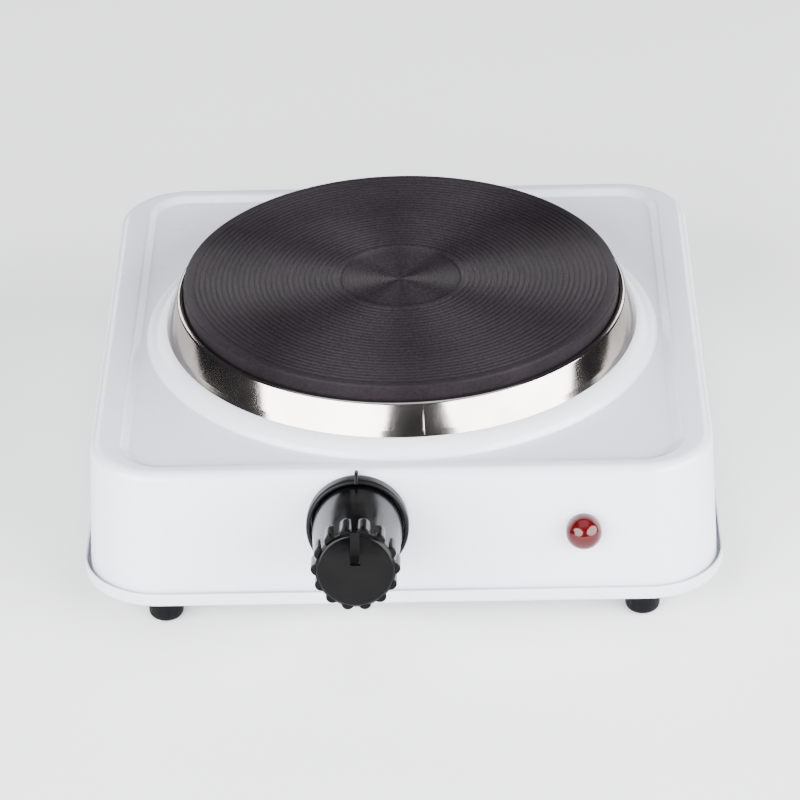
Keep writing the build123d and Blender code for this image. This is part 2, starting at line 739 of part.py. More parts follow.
def make_thermostat_frame():
    near = -front_wall_t
    plate = block(-frame_left, frame_right, -frame_half_h, frame_half_h, near - frame_t, near)
    plate = fillet(plate.edges().filter_by(Axis.Z), frame_corner_r)
    plate -= disc(bush_r, near - 5, near + 1)
    plate -= disc(spacer_bore_r, near - 5, near + 1, stack_u, 0)
    for side in (-1, 1):
        plate -= disc(screw_r, near - 5, near + 1, 0, side * fixing_screw_offset)
    return knob_seat * plate


def make_thermostat_bush():
    back = -front_wall_t - frame_t
    bush = disc(bush_r, back, 0) + disc(bush_flange_r, back - bush_flange_t, back)
    bush += disc(bush_r, -bush_back, back)
    bush -= disc(spindle_r + spindle_run_clear, -spindle_end - bore_bottom_gap, 1)
    bush -= disc(push_pin_r + spindle_run_clear, -bush_back - 1, 0)
    return knob_seat * bush


def make_push_pin():
    pin = disc(push_pin_r, -push_pin_top - push_pin_length, -push_pin_top)
    return knob_seat * pin


def make_fixing_screws():
    screw = pan_head_screw(screw_r, screw_head_r, screw_head_t, fixing_screw_length)
    return [knob_seat * Pos(0, side * fixing_screw_offset, 0) * screw for side in (-1, 1)]


def make_ceramic_spacers():
    levels = [(front_wall_t + frame_t, blade_1), (blade_1 + blade_t, blade_2),
              (blade_2 + blade_t, bimetal_s)]
    return [knob_seat * tube(spacer_r, spacer_bore_r, -deep, -near, stack_u, 0) for near, deep in levels]


def blade(depth, thickness, tip, tail):
    """Flat strip lying parallel to the wall at a depth behind it."""
    strip = block(tip, tail, -blade_w / 2, blade_w / 2, -depth - thickness, -depth)
    strip = fillet(strip.edges().filter_by(Axis.Z), blade_corner_r)
    return strip - disc(spacer_bore_r, -depth - 5, -depth + 5, stack_u, 0)


def make_moving_blade():
    return knob_seat * blade(blade_1, blade_t, blade_tip, blade_tab_reach)


def make_fixed_blade():
    return knob_seat * blade(blade_2, blade_t, blade_tip, blade_tab_reach)


def make_contact_buttons():
    height = (blade_gap - contact_gap) / 2
    x = blade_tip + contact_r + contact_inset
    near = disc(contact_r, -blade_1 - blade_t - height, -blade_1 - blade_t, x, 0)
    far = disc(contact_r, -blade_2, -blade_2 + height, x, 0)
    return [knob_seat * near, knob_seat * far]


def make_bimetal():
    return knob_seat * blade(bimetal_s, bimetal_t, blade_tip - bimetal_overhang, stack_u + spacer_r)


def make_stack_rivet():
    back = bimetal_s + bimetal_t
    shank = disc(spacer_bore_r, -back, -front_wall_t, stack_u, 0)
    return knob_seat * (shank + disc(rivet_head_r, -back - rivet_head_t, -back, stack_u, 0))


# ---- pilot lamp ----
def make_lamp_lens():
    straight = lens_proud * lens_straight_share
    rise = lens_proud - straight
    dome_r = (lens_r ** 2 + rise ** 2) / (2 * rise)
    outer = disc(lens_r, 0, straight)
    outer += Pos(0, 0, lens_proud - dome_r) * Sphere(dome_r) & disc(lens_r, straight - 0.1, lens_proud + 1)
    stem = disc(lamp_stem_r, -lamp_stem_length, 0.1)
    hollow = disc(lamp_stem_r - lens_wall, -lamp_stem_length - 1, straight)
    return lamp_seat * (outer + stem - hollow)


def make_lamp_holder():
    inner_r = lamp_stem_r - lens_wall
    body = disc(lamp_stem_r, -lamp_holder_length, -lamp_stem_length)
    body -= disc(inner_r - holder_step, -lamp_holder_length + holder_floor_t, -lamp_stem_length + 1)
    for side in (-1, 1):
        body -= disc(holder_wire_r, -lamp_holder_length - 1, -lamp_stem_length, side * lamp_wire_x, 0)
    return lamp_seat * body


def make_speed_nut():
    low = -front_wall_t - speed_nut_t
    nut = tube(speed_nut_r, lamp_stem_r, low, -front_wall_t)
    for i in range(6):
        notch = block(lamp_stem_r - 0.5, lamp_stem_r + notch_reach, -notch_w / 2, notch_w / 2, low - 1, 0)
        nut -= Rot(0, 0, 60 * i) * notch
    return lamp_seat * nut


def make_glow_bulb():
    low = -lamp_holder_length + holder_floor_t
    bulb = disc(bulb_r, low, -bulb_tip_s)
    return lamp_seat * fillet(bulb.edges().group_by(Axis.Z)[-1], bulb_r * 0.8)


# ---- mains entry ----
def make_cable_gland():
    gland = disc(gland_flange_r, 0, gland_flange_t)
    gland = fillet(gland.edges().group_by(Axis.Z)[-1], gland_edge_r)
    gland += disc(gland_neck_r, -back_wall_t, 0.1)
    gland += disc(gland_lip_r, -back_wall_t - gland_lip_t, -back_wall_t)
    return gland_seat * (gland - disc(gland_bore_r, -20, 20))


def pole_x(index):
    """Place of a terminal pole along the block."""
    return mains_x + (index - (block_poles - 1) / 2) * block_w / block_poles


def pole_z():
    return pan_floor_z + block_h * pole_height_share


def make_mains_block():
    top = pan_floor_z + block_h
    body = block(mains_x - block_w / 2, mains_x + block_w / 2, mains_y - block_d / 2, mains_y + block_d / 2,
                 pan_floor_z, top)
    body = chamfer(body.edges().group_by(Axis.Z)[-1], block_chamfer)
    for i in range(block_poles):
        bore = Pos(pole_x(i), mains_y, pole_z()) * Rot(90, 0, 0) * Cylinder(pole_bore_r, block_d + 2)
        body -= bore
        body -= disc(pole_screw_r, pole_z(), top + 1, pole_x(i), mains_y - block_d * pole_screw_share)
    return body - disc(screw_r, pan_floor_z - 1, pole_z() - pole_bore_r - 0.6, mains_x, mains_y)


def make_pole_screws():
    """Slotted clamping screws above the pole bores."""
    top = pan_floor_z + block_h - pole_screw_sink
    y = mains_y - block_d * pole_screw_share
    screws = []
    for i in range(block_poles):
        x = pole_x(i)
        screw = disc(pole_screw_r, pole_z() + lead_r, top, x, y)
        cut = block(x - pole_screw_r, x + pole_screw_r, y - pole_slot_w / 2, y + pole_slot_w / 2,
                    top - pole_slot_depth, top + 1)
        screws.append(screw - cut)
    return screws


def make_block_screw():
    length = pole_z() - pole_bore_r - 0.8 - pan_bottom_z
    screw = pan_head_screw(screw_r, screw_head_r, screw_head_t, length)
    return Pos(mains_x, mains_y, pan_bottom_z) * Rot(180, 0, 0) * screw


def make_earth_screw():
    screw = pan_head_screw(earth_screw_r, earth_screw_r * 1.9, earth_screw_head_t, earth_screw_length)
    return Pos(earth_x, earth_y, pan_bottom_z) * Rot(180, 0, 0) * screw


def earth_lug_z():
    return pan_floor_z + earth_nut_t


def make_earth_nut():
    nut = hexagon(earth_nut_af, pan_floor_z, earth_lug_z(), earth_x, earth_y)
    top_nut = hexagon(earth_nut_af, earth_lug_z() + earth_lug_t, earth_lug_z() + earth_lug_t + earth_nut_t,
                      earth_x, earth_y)
    bore = disc(earth_screw_r, pan_floor_z - 1, pan_floor_z + 20, earth_x, earth_y)
    return [nut - bore, top_nut - bore]


def make_earth_lug():
    low = earth_lug_z()
    eye = disc(earth_lug_r, low, low + earth_lug_t, earth_x, earth_y)
    tongue = block(earth_x - earth_tongue_w / 2, earth_x + earth_tongue_w / 2, earth_y - earth_lug_reach,
                   earth_y - earth_screw_r, low, low + earth_lug_t)
    return eye + tongue - disc(earth_screw_r, low - 1, low + 2, earth_x, earth_y)


# ---- leads: each runs from one terminal to the next ----
def wall_point(seat, u, s):
    """Point in the whole model's frame from a place on a wall's own frame."""
    return tuple(seat.from_local_coords((u, 0, s)))


def crimp_end():
    """How far sideways from the spindle the thermostat's receptacles end."""
    return blade_tab_reach + crimp_tail


def make_blade_crimps():
    """Flat receptacles pushed over the two blade tabs."""
    crimps = []
    for depth in (blade_1, blade_2):
        middle = -depth - blade_t / 2
        body = block(blade_tab_reach - crimp_l, crimp_end(), -crimp_w / 2, crimp_w / 2,
                     middle - crimp_h / 2, middle + crimp_h / 2)
        body -= block(0, blade_tab_reach, -blade_w / 2, blade_w / 2, middle - blade_t / 2,
                      middle + blade_t / 2)
        crimps.append(knob_seat * body)
    return crimps


def pin_foot_z():
    return plate_block_top_z - plate_block_h - pin_tail


def make_pin_crimps():
    """Sleeves crimped on the lower ends of the plate's pins."""
    low = pin_foot_z() - crimp_tail
    crimps = []
    for x, y in pin_places():
        sleeve = disc(pin_crimp_r, low, pin_foot_z() + pin_tail - 1.0, x, y)
        crimps.append(sleeve - disc(pin_r, pin_foot_z(), pin_foot_z() + 20, x, y))
    return crimps


def below_pin(index):
    x, y = pin_places()[index]
    return (x, y, pin_foot_z() - crimp_tail)


def pole_entry(index):
    """Last two points of a lead that enters a pole of the mains block from the front."""
    mouth = mains_y - block_d / 2
    return [(pole_x(index), mouth - 12, pole_z()), (pole_x(index), mains_y - 2, pole_z())]


def make_live_lead():
    s = -blade_1 - blade_t / 2
    start = wall_point(knob_seat, crimp_end(), s)
    run = [start, (start[0] + 20, start[1], start[2]), (48, -68, 24), (44, -20, 22), (41, 20, 22)]
    return wire_along(run + pole_entry(1), lead_r)


def make_switched_lead():
    s = -blade_2 - blade_t / 2
    end = wall_point(knob_seat, crimp_end(), s)
    x, y, z = below_pin(1)
    run = [(x, y, z), (x, y, z - 8), (16, -50, 27), (30, -70, 32), (end[0] + 11, end[1], end[2]), end]
    return wire_along(run, lead_r)


def make_neutral_lead():
    x, y, z = below_pin(0)
    return wire_along([(x, y, z), (x, y, z - 9), (-6, 0, 24), (14, 26, 22)] + pole_entry(0), lead_r)


def make_earth_lead():
    z = earth_lug_z() + earth_lug_t + lead_r
    y = earth_y - earth_lug_reach
    return wire_along([(earth_x, y + 4, z), (earth_x, y - 8, z), (70, 26, 18.4)] + pole_entry(2), lead_r)


def make_lamp_lead_right():
    """From the lamp, through its resistor, to the plate's switched pin."""
    x, y, z = below_pin(1)
    end = (x + pin_crimp_r + lead_touch_gap, y, z + 2)
    return wire_along([wall_point(lamp_seat, lamp_wire_x, -lamp_holder_length),
                       wall_point(lamp_seat, lamp_wire_x, -lamp_holder_length - 20),
                       (52, -44, 30), (32, y, 33), end], lamp_lead_r)


def make_lamp_lead_left():
    """From the lamp to the plate's neutral pin."""
    x, y, z = below_pin(0)
    return wire_along([wall_point(lamp_seat, -lamp_wire_x, -lamp_holder_length),
                       wall_point(lamp_seat, -lamp_wire_x, -lamp_holder_length - 18),
                       (46, -58, 28), (20, -51, 22), (-6, -50, 24), (x, y - 9, z - 2),
                       (x, y - pin_crimp_r - lead_touch_gap, z + 2)], lamp_lead_r)


def make_lamp_resistor():
    low = -lamp_holder_length - 4 - resistor_length
    return lamp_seat * tube(resistor_r, lamp_lead_r, low, low + resistor_length, lamp_wire_x, 0)


# ---- write every piece ----
def all_nodes():
    nodes = {
        "top_shell": make_top_shell(), "bottom_pan": make_bottom_pan(), "pan_screws": make_pan_screws(),
        "burner_plate": make_burner_plate(), "trim_ring": make_trim_ring(),
        "heating_coils": make_heating_coils(), "coil_packing": make_coil_packing(),
        "burner_cover": make_burner_cover(), "centre_stud": make_centre_stud(),
        "stud_spacer": make_stud_spacer(), "clamp_bridge": make_clamp_bridge(),
        "clamp_washer": make_clamp_washer(), "stud_nuts": make_stud_nuts(),
        "plate_terminal_body": make_plate_terminal_body(), "plate_pins": make_plate_pins(),
        "bezel": make_bezel(), "knob": make_knob(), "knob_clip": make_knob_clip(),
        "spindle": make_spindle(), "spindle_circlip": make_circlip(),
        "thermostat_frame": make_thermostat_frame(), "thermostat_bush": make_thermostat_bush(),
        "thermostat_screws": make_fixing_screws(), "push_pin": make_push_pin(),
        "ceramic_spacers": make_ceramic_spacers(), "moving_blade": make_moving_blade(),
        "fixed_blade": make_fixed_blade(), "contact_buttons": make_contact_buttons(),
        "bimetal_strip": make_bimetal(), "stack_rivet": make_stack_rivet(),
        "lamp_lens": make_lamp_lens(), "lamp_holder": make_lamp_holder(), "glow_bulb": make_glow_bulb(),
        "lamp_speed_nut": make_speed_nut(), "lamp_resistor": make_lamp_resistor(),
        "cable_gland": make_cable_gland(), "mains_block": make_mains_block(),
        "pole_screws": make_pole_screws(), "mains_block_screw": make_block_screw(),
        "earth_screw": make_earth_screw(), "earth_nuts": make_earth_nut(), "earth_lug": make_earth_lug(),
        "blade_crimps": make_blade_crimps(), "pin_crimps": make_pin_crimps(),
        "lead_live": make_live_lead(), "lead_switched": make_switched_lead(),
        "lead_neutral": make_neutral_lead(), "lead_earth": make_earth_lead(),
        "lead_lamp_right": make_lamp_lead_right(), "lead_lamp_left": make_lamp_lead_left(),
    }
    for name, (x, y) in foot_places().items():
        nodes[name] = make_foot(x, y)
    return nodes


def placed(piece):
    """Node in its final place: a single solid, or a group of separate solids."""
    items = piece if isinstance(piece, list) else [piece]
    solids = [Pos(0, shift_y, 0) * solid for item in items for solid in item.solids()]
    return solids[0] if len(solids) == 1 else Compound(children=solids)


os.makedirs("parts", exist_ok=True)
for node, piece in all_nodes().items():
    export_step(placed(piece), "parts/" + node + ".step")
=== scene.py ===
"""Looks of a portable hot plate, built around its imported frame, in metres."""
import json
import logging
import math
from dataclasses import dataclass, field
from enum import Enum

import bmesh
import bpy
import numpy as np
from mathutils import Matrix, Vector


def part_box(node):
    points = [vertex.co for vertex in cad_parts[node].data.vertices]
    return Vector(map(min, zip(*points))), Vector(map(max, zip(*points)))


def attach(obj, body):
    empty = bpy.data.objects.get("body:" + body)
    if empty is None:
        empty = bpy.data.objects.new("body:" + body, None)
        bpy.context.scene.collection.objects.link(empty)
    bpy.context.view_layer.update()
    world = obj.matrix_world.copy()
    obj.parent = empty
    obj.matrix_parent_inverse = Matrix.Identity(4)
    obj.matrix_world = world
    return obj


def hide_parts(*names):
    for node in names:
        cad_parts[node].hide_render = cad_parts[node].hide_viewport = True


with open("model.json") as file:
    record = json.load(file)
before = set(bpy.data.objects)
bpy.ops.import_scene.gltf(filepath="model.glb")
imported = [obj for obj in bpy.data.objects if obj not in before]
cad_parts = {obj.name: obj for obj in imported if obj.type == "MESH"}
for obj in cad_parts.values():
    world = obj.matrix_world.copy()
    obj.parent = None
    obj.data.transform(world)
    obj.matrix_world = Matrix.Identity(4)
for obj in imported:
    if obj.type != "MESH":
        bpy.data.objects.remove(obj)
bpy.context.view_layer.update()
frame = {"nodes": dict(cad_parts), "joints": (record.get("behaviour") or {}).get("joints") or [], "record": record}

MM = 0.001
LOG = logging.getLogger("hot_plate")
FEET_NODES = ("foot_front_left", "foot_front_right", "foot_back_left", "foot_back_right")
Loop = np.ndarray
Piece = bpy.types.Object
Finish = bpy.types.Material
Socket = bpy.types.NodeSocket
Outline = list[tuple[float, float]]
Triple = tuple[float, float, float]
Faces = list[tuple[int, ...]]


class Body(Enum):
    """The rigid bodies that pieces ride on."""

    HOUSING = "housing"
    KNOB = "knob"


class Side(Enum):
    """Walls of the case, in the order that a plan loop visits them."""

    FRONT = 0
    RIGHT = 1
    BACK = 2
    LEFT = 3


def plan_middle(node: str) -> tuple[float, float]:
    """Middle of a CAD node, seen from above."""
    low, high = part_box(node)
    return (low.x + high.x) / 2, (low.y + high.y) / 2


# ---------------------------------------------------------------- mesh tools
class MeshTool:
    """Builds closed, smooth meshes out of loops of points."""

    @staticmethod
    def link_mesh(name: str, mesh: bpy.types.Mesh) -> Piece:
        """Put a mesh in the scene.

        Args:
            name: Object name.
            mesh: The mesh.

        Returns:
            The new object, at the origin.
        """
        piece = bpy.data.objects.new(name, mesh)
        bpy.context.scene.collection.objects.link(piece)
        return piece

    @staticmethod
    def make_object(name: str, points: np.ndarray, faces: Faces) -> Piece:
        """Link a smooth-shaded mesh object.

        Args:
            name: Object and mesh name.
            points: Vertex positions, one row each.
            faces: Vertex indices of each face.

        Returns:
            The new object.
        """
        mesh = bpy.data.meshes.new(name)
        mesh.from_pydata([tuple(p) for p in points], [], faces)
        mesh.validate()
        work = bmesh.new()
        work.from_mesh(mesh)
        bmesh.ops.recalc_face_normals(work, faces=work.faces)
        work.to_mesh(mesh)
        work.free()
        mesh.shade_smooth()
        return MeshTool.link_mesh(name, mesh)

    @staticmethod
    def skin(name: str, loops: list[Loop], closed: bool = False) -> Piece:
        """Join a stack of closed loops, all of one point count, with quads.

        Args:
            name: Object name.
            loops: Point loops in order along the surface.
            closed: True to join the last loop back to the first, False to cap both ends.

        Returns:
            The new object.
        """
        count = len(loops[0])
        points = np.vstack(loops)
        faces: Faces = []
        pairs = len(loops) if closed else len(loops) - 1
        for row in range(pairs):
            a = row * count
            b = ((row + 1) % len(loops)) * count
            for k in range(count):
                n = (k + 1) % count
                faces.append((a + k, a + n, b + n, b + k))
        if not closed:
            faces.append(tuple(range(count - 1, -1, -1)))
            last = (len(loops) - 1) * count
            faces.append(tuple(range(last, last + count)))
        return MeshTool.make_object(name, points, faces)

    @staticmethod
    def circle(radius: float | np.ndarray, z: float, angles: np.ndarray) -> Loop:
        """Loop of points about the Z axis, at one radius or at one for each angle."""
        return np.stack([radius * np.cos(angles), radius * np.sin(angles), np.full(len(angles), z)], axis=1)

    @staticmethod
    def spin(name: str, outline: Outline, count: int) -> Piece:
        """Turn a closed (radius, height) outline about the Z axis.

        Args:
            name: Object name.
            outline: Closed section, or one that starts and ends on the axis.
            count: Points round each loop.

        Returns:
            The new object.
        """
        angles = np.linspace(0, 2 * math.pi, count, endpoint=False)
        on_axis = outline[0][0] < 1e-7 and outline[-1][0] < 1e-7
        if not on_axis:
            return MeshTool.skin(name, [MeshTool.circle(r, z, angles) for r, z in outline], closed=True)
        loops = [MeshTool.circle(r, z, angles) for r, z in outline[1:-1]]
        return MeshTool.close_on_axis(name, loops, outline[0][1], outline[-1][1])

    @staticmethod
    def close_on_axis(name: str, loops: list[Loop], first: float, last: float) -> Piece:
        """Join a stack of loops, and close both ends with a point on the Z axis.

        Args:
            name: Object name.
            loops: Point loops in order along the surface.
            first: Height of the point before the first loop.
            last: Height of the point after the last loop.

        Returns:
            The new object.
        """
        count = len(loops[0])
        points = np.vstack([[(0.0, 0.0, first)], *loops, [(0.0, 0.0, last)]])
        end = len(points) - 1
        faces: Faces = [(0, 1 + (k + 1) % count, 1 + k) for k in range(count)]
        for row in range(len(loops) - 1):
            a = 1 + row * count
            for k in range(count):
                n = (k + 1) % count
                faces.append((a + k, a + n, a + count + n, a + count + k))
        a = 1 + (len(loops) - 1) * count
        faces += [(a + k, a + (k + 1) % count, end) for k in range(count)]
        return MeshTool.make_object(name, points, faces)

    @staticmethod
    def rounded(corners: Outline, radii: list[float], steps: int = 6,
                closed: bool = True) -> Outline:
        """Round the corners of a 2-D outline with tangent arcs.

        Args:
            corners: Corner points.
            radii: Radius at each corner, zero for a sharp one.
            steps: Segments in each arc.
            closed: True where the last corner joins the first.

        Returns:
            The outline's points.
        """
        result: Outline = []
        count = len(corners)
        for i, radius in enumerate(radii):
            here = Vector(corners[i])
            if radius <= 0 or (not closed and i in (0, count - 1)):
                result.append(tuple(here))
                continue
            to_before = (Vector(corners[i - 1]) - here).normalized()
            to_after = (Vector(corners[(i + 1) % count]) - here).normalized()
            half = to_before.angle(to_after) / 2
            reach = radius / math.tan(half)
            centre = here + (to_before + to_after).normalized() * (radius / math.sin(half))
            start = here + to_before * reach - centre
            end = here + to_after * reach - centre
            turn = start.angle_signed(end)
            for k in range(steps + 1):
                spoke = Matrix.Rotation(-turn * k / steps, 2) @ start
                result.append(tuple(centre + spoke))
        return result

    @staticmethod
    def box(name: str, low: Vector, high: Vector, bevel: float, segments: int = 3) -> Piece:
        """Box between two corners with rounded edges.

        Args:
            name: Object name.
            low: Lowest corner.
            high: Highest corner.
            bevel: Width of the rounded edges.
            segments: Steps across each edge.

        Returns:
            The new object.
        """
        work = bmesh.new()
        bmesh.ops.create_cube(work, size=1.0)
        for v in work.verts:
            v.co = Vector([(lo + hi) / 2 + c * (hi - lo) for lo, hi, c in zip(low, high, v.co)])
        if bevel > 0:
            bmesh.ops.bevel(work, geom=list(work.edges), offset=bevel, segments=segments, profile=0.5,
                            affect="EDGES")
        mesh = bpy.data.meshes.new(name)
        work.to_mesh(mesh)
        work.free()
        mesh.shade_smooth()
        return MeshTool.link_mesh(name, mesh)

    @staticmethod
    def combine(target: Piece, tool: Piece, operation: str) -> None:
        """Apply an exact boolean and remove the tool object.

        Args:
            target: The piece that stays.
            tool: The piece that is used up.
            operation: Name of the boolean.
        """
        modifier = target.modifiers.new("cut", "BOOLEAN")
        modifier.operation = operation
        modifier.solver = "EXACT"
        modifier.object = tool
        MeshTool.apply(target)
        bpy.data.objects.remove(tool)

    @staticmethod
    def apply(piece: Piece) -> None:
        """Turn a piece's modifiers into plain mesh.

        Args:
            piece: The piece to change.
        """
        bpy.context.view_layer.update()
        graph = bpy.context.evaluated_depsgraph_get()
        mesh = bpy.data.meshes.new_from_object(piece.evaluated_get(graph))
        piece.modifiers.clear()
        piece.data = mesh

    @staticmethod
    def split_edges(piece: Piece, degrees: float) -> None:
        """Shade smooth, but keep edges sharper than an angle crisp.

        Args:
            piece: The piece to shade.
            degrees: Largest angle that stays smooth.
        """
        piece.data.shade_smooth()
        work = bmesh.new()
        work.from_mesh(piece.data)
        limit = math.radians(degrees)
        for edge in work.edges:
            if len(edge.link_faces) == 2 and edge.calc_face_angle(0.0) > limit:
                edge.smooth = False
        work.to_mesh(piece.data)
        work.free()

    @staticmethod
    def place(piece: Piece, matrix: Matrix) -> Piece:
        """Move a piece's vertices, and leave the object at the origin."""
        piece.data.transform(matrix)
        return piece


# ------------------------------------------------------------------ finishes
class NodeBench:
    """Shader nodes of one material, with short calls for the common ones."""

    def __init__(self, name: str) -> None:
        """Start a material with one Principled shader.

        Args:
            name: Name of the material.
        """
        self.material = bpy.data.materials.new(name)
        self.material.use_nodes = True
        self.tree = self.material.node_tree
        self.tree.nodes.clear()
        self.output = self.tree.nodes.new("ShaderNodeOutputMaterial")
        self.shader = self.tree.nodes.new("ShaderNodeBsdfPrincipled")
        self.tree.links.new(self.shader.outputs[0], self.output.inputs[0])
        self.coordinates = self.tree.nodes.new("ShaderNodeTexCoord").outputs["Object"]

    def put(self, socket: str, value: float | tuple[float, ...]) -> None:
        """Set a value on the shader's own socket."""
        self.shader.inputs[socket].default_value = value

    def link(self, source: Socket, target: Socket) -> None:
        """Join two sockets."""
        self.tree.links.new(source, target)

    def feed(self, socket: str, source: Socket) -> None:
        """Drive one of the shader's own sockets."""
        self.link(source, self.shader.inputs[socket])

    def noise(self, scale: float, detail: float = 3.0, roughness: float = 0.5,
              stretch: Triple = (1, 1, 1)) -> Socket:
        """Noise in object space.

        Args:
            scale: Cells in a metre.
            detail: Octaves.
            roughness: Strength of the finer octaves.
            stretch: Scale along each axis.

        Returns:
            The noise's factor.
        """
        mapping = self.tree.nodes.new("ShaderNodeMapping")
        mapping.inputs["Scale"].default_value = stretch
        self.link(self.coordinates, mapping.inputs["Vector"])
        node = self.tree.nodes.new("ShaderNodeTexNoise")
        node.inputs["Scale"].default_value = scale
        node.inputs["Detail"].default_value = detail
        node.inputs["Roughness"].default_value = roughness
        self.link(mapping.outputs[0], node.inputs["Vector"])
        return node.outputs["Fac"]

    def math(self, operation: str, a: Socket | float,
             b: Socket | float = 0.0) -> Socket:
        """Arithmetic on sockets or plain numbers.

        Args:
            operation: Name of the operation.
            a: First operand.
            b: Second operand.

        Returns:
            The result.
        """
        node = self.tree.nodes.new("ShaderNodeMath")
        node.operation = operation
        for slot, value in zip(node.inputs, (a, b)):
            if isinstance(value, Socket):
                self.link(value, slot)
            else:
                slot.default_value = value
        return node.outputs[0]

    def span(self, source: Socket, low: float, high: float,
             from_low: float = 0.3, from_high: float = 0.7) -> Socket:
        """Map a range of a factor onto another range, clamped.

        Args:
            source: The factor to map.
            low: Value at the range's low end.
            high: Value at its high end.
            from_low: Low end of the factor's range.
            from_high: High end of it.

        Returns:
            The mapped value.
        """
        node = self.tree.nodes.new("ShaderNodeMapRange")
        for slot, value in zip(node.inputs[1:5], (from_low, from_high, low, high)):
            slot.default_value = value
        self.link(source, node.inputs[0])
        return node.outputs[0]

    def blend(self, factor: Socket, a: tuple[float, ...],
              b: tuple[float, ...]) -> Socket:
        """Mix two colours by a factor.

        Args:
            factor: Share of the second colour.
            a: First colour.
            b: Second colour.

        Returns:
            The mixed colour.
        """
        node = self.tree.nodes.new("ShaderNodeMix")
        node.data_type = "RGBA"
        node.inputs["A"].default_value = (*a, 1)
        node.inputs["B"].default_value = (*b, 1)
        self.link(factor, node.inputs["Factor"])
        return node.outputs["Result"]

    def radius_about(self, centre: Vector) -> Socket:
        """Distance from an upright axis through a point.

        Args:
            centre: A point on the axis.

        Returns:
            The distance in metres.
        """
        shift = self.tree.nodes.new("ShaderNodeVectorMath")
        shift.operation = "SUBTRACT"
        shift.inputs[1].default_value = centre
        self.link(self.coordinates, shift.inputs[0])
        split = self.tree.nodes.new("ShaderNodeSeparateXYZ")
        self.link(shift.outputs[0], split.inputs[0])
        square = self.math("ADD", self.math("MULTIPLY", split.outputs[0], split.outputs[0]),
                           self.math("MULTIPLY", split.outputs[1], split.outputs[1]))
        return self.math("SQRT", square)

    def facing(self, axis: int) -> Socket:
        """How far the surface faces along an axis, from 0 to 1 either way.

        Args:
            axis: 0 for X, 1 for Y, 2 for Z.

        Returns:
            The size of that part of the normal.
        """
        geometry = self.tree.nodes.new("ShaderNodeNewGeometry")
        split = self.tree.nodes.new("ShaderNodeSeparateXYZ")
        self.link(geometry.outputs["True Normal"], split.inputs[0])
        return self.math("ABSOLUTE", split.outputs[axis])

    def bump(self, height: Socket, depth: float, strength: float = 1.0) -> None:
        """Add relief, chained after any earlier relief.

        Args:
            height: Relief from 0 to 1.
            depth: Height of 1, in metres.
            strength: Share of the relief that shows.
        """
        node = self.tree.nodes.new("ShaderNodeBump")
        node.inputs["Strength"].default_value = strength
        node.inputs["Distance"].default_value = depth
        self.link(height, node.inputs["Height"])
        target = self.shader.inputs["Normal"]
        if target.is_linked:
            self.link(target.links[0].from_socket, node.inputs["Normal"])
        self.link(node.outputs[0], target)


@dataclass(frozen=True)
class Enamel:
    """Stoved enamel on pressed steel: a gloss coat with a trace of orange peel."""

    name: str = "stoved_enamel"
    light: Triple = (0.695, 0.71, 0.775)
    shade: Triple = (0.66, 0.68, 0.75)
    roughness: tuple[float, float] = (0.26, 0.36)
    peel_scale: float = 520.0
    peel_depth: float = 0.012 * MM

    def build(self) -> Finish:
        """Make the material.

        Returns:
            The material.
        """
        bench = NodeBench(self.name)
        tint = bench.noise(9.0, 4.0)
        bench.feed("Base Color", bench.blend(bench.span(tint, 0, 1), self.light, self.shade))
        bench.feed("Roughness", bench.span(bench.noise(60.0), *self.roughness))
        bench.put("IOR", 1.5)
        bench.put("Coat Weight", 0.55)
        bench.put("Coat Roughness", 0.12)
        bench.bump(bench.noise(self.peel_scale, 2.0), self.peel_depth)
        bench.bump(bench.noise(28.0, 2.0), 0.05 * MM)
        return bench.material


@dataclass(frozen=True)
class CastIron:
    """Turned cast iron under a dark heat-proof coat."""

    centre: Vector
    name: str = "turned_cast_iron"
    dark: Triple = (0.0052, 0.0040, 0.0052)
    light: Triple = (0.0130, 0.0103, 0.0128)
    tool_marks: float = 5200.0

    def build(self) -> Finish:
        """Make the material.

        Returns:
            The material.
        """
        bench = NodeBench(self.name)
        grain = bench.noise(900.0, 5.0, 0.65)
        stain = bench.noise(26.0, 4.0)
        tone = bench.math("ADD", bench.math("MULTIPLY", grain, 0.5), bench.math("MULTIPLY", stain, 0.5))
        bench.feed("Base Color", bench.blend(bench.span(tone, 0, 1, 0.38, 0.62), self.dark, self.light))
        bench.feed("Roughness", bench.span(grain, 0.44, 0.60))
        bench.feed("Specular IOR Level", bench.span(bench.facing(2), 0.05, 0.28, 0.55, 0.97))
        bench.put("Specular Tint", (1.0, 0.90, 0.98, 1.0))
        bench.put("Anisotropic", 0.8)
        bench.put("Anisotropic Rotation", 0.25)
        tangent = bench.tree.nodes.new("ShaderNodeTangent")
        tangent.direction_type = "RADIAL"
        tangent.axis = "Z"
        bench.feed("Tangent", tangent.outputs[0])
        turning = bench.math("SINE", bench.math("MULTIPLY", bench.radius_about(self.centre), self.tool_marks))
        bench.bump(bench.span(turning, 0, 1, -1, 1), 0.02 * MM)
        bench.bump(grain, 0.03 * MM)
        return bench.material


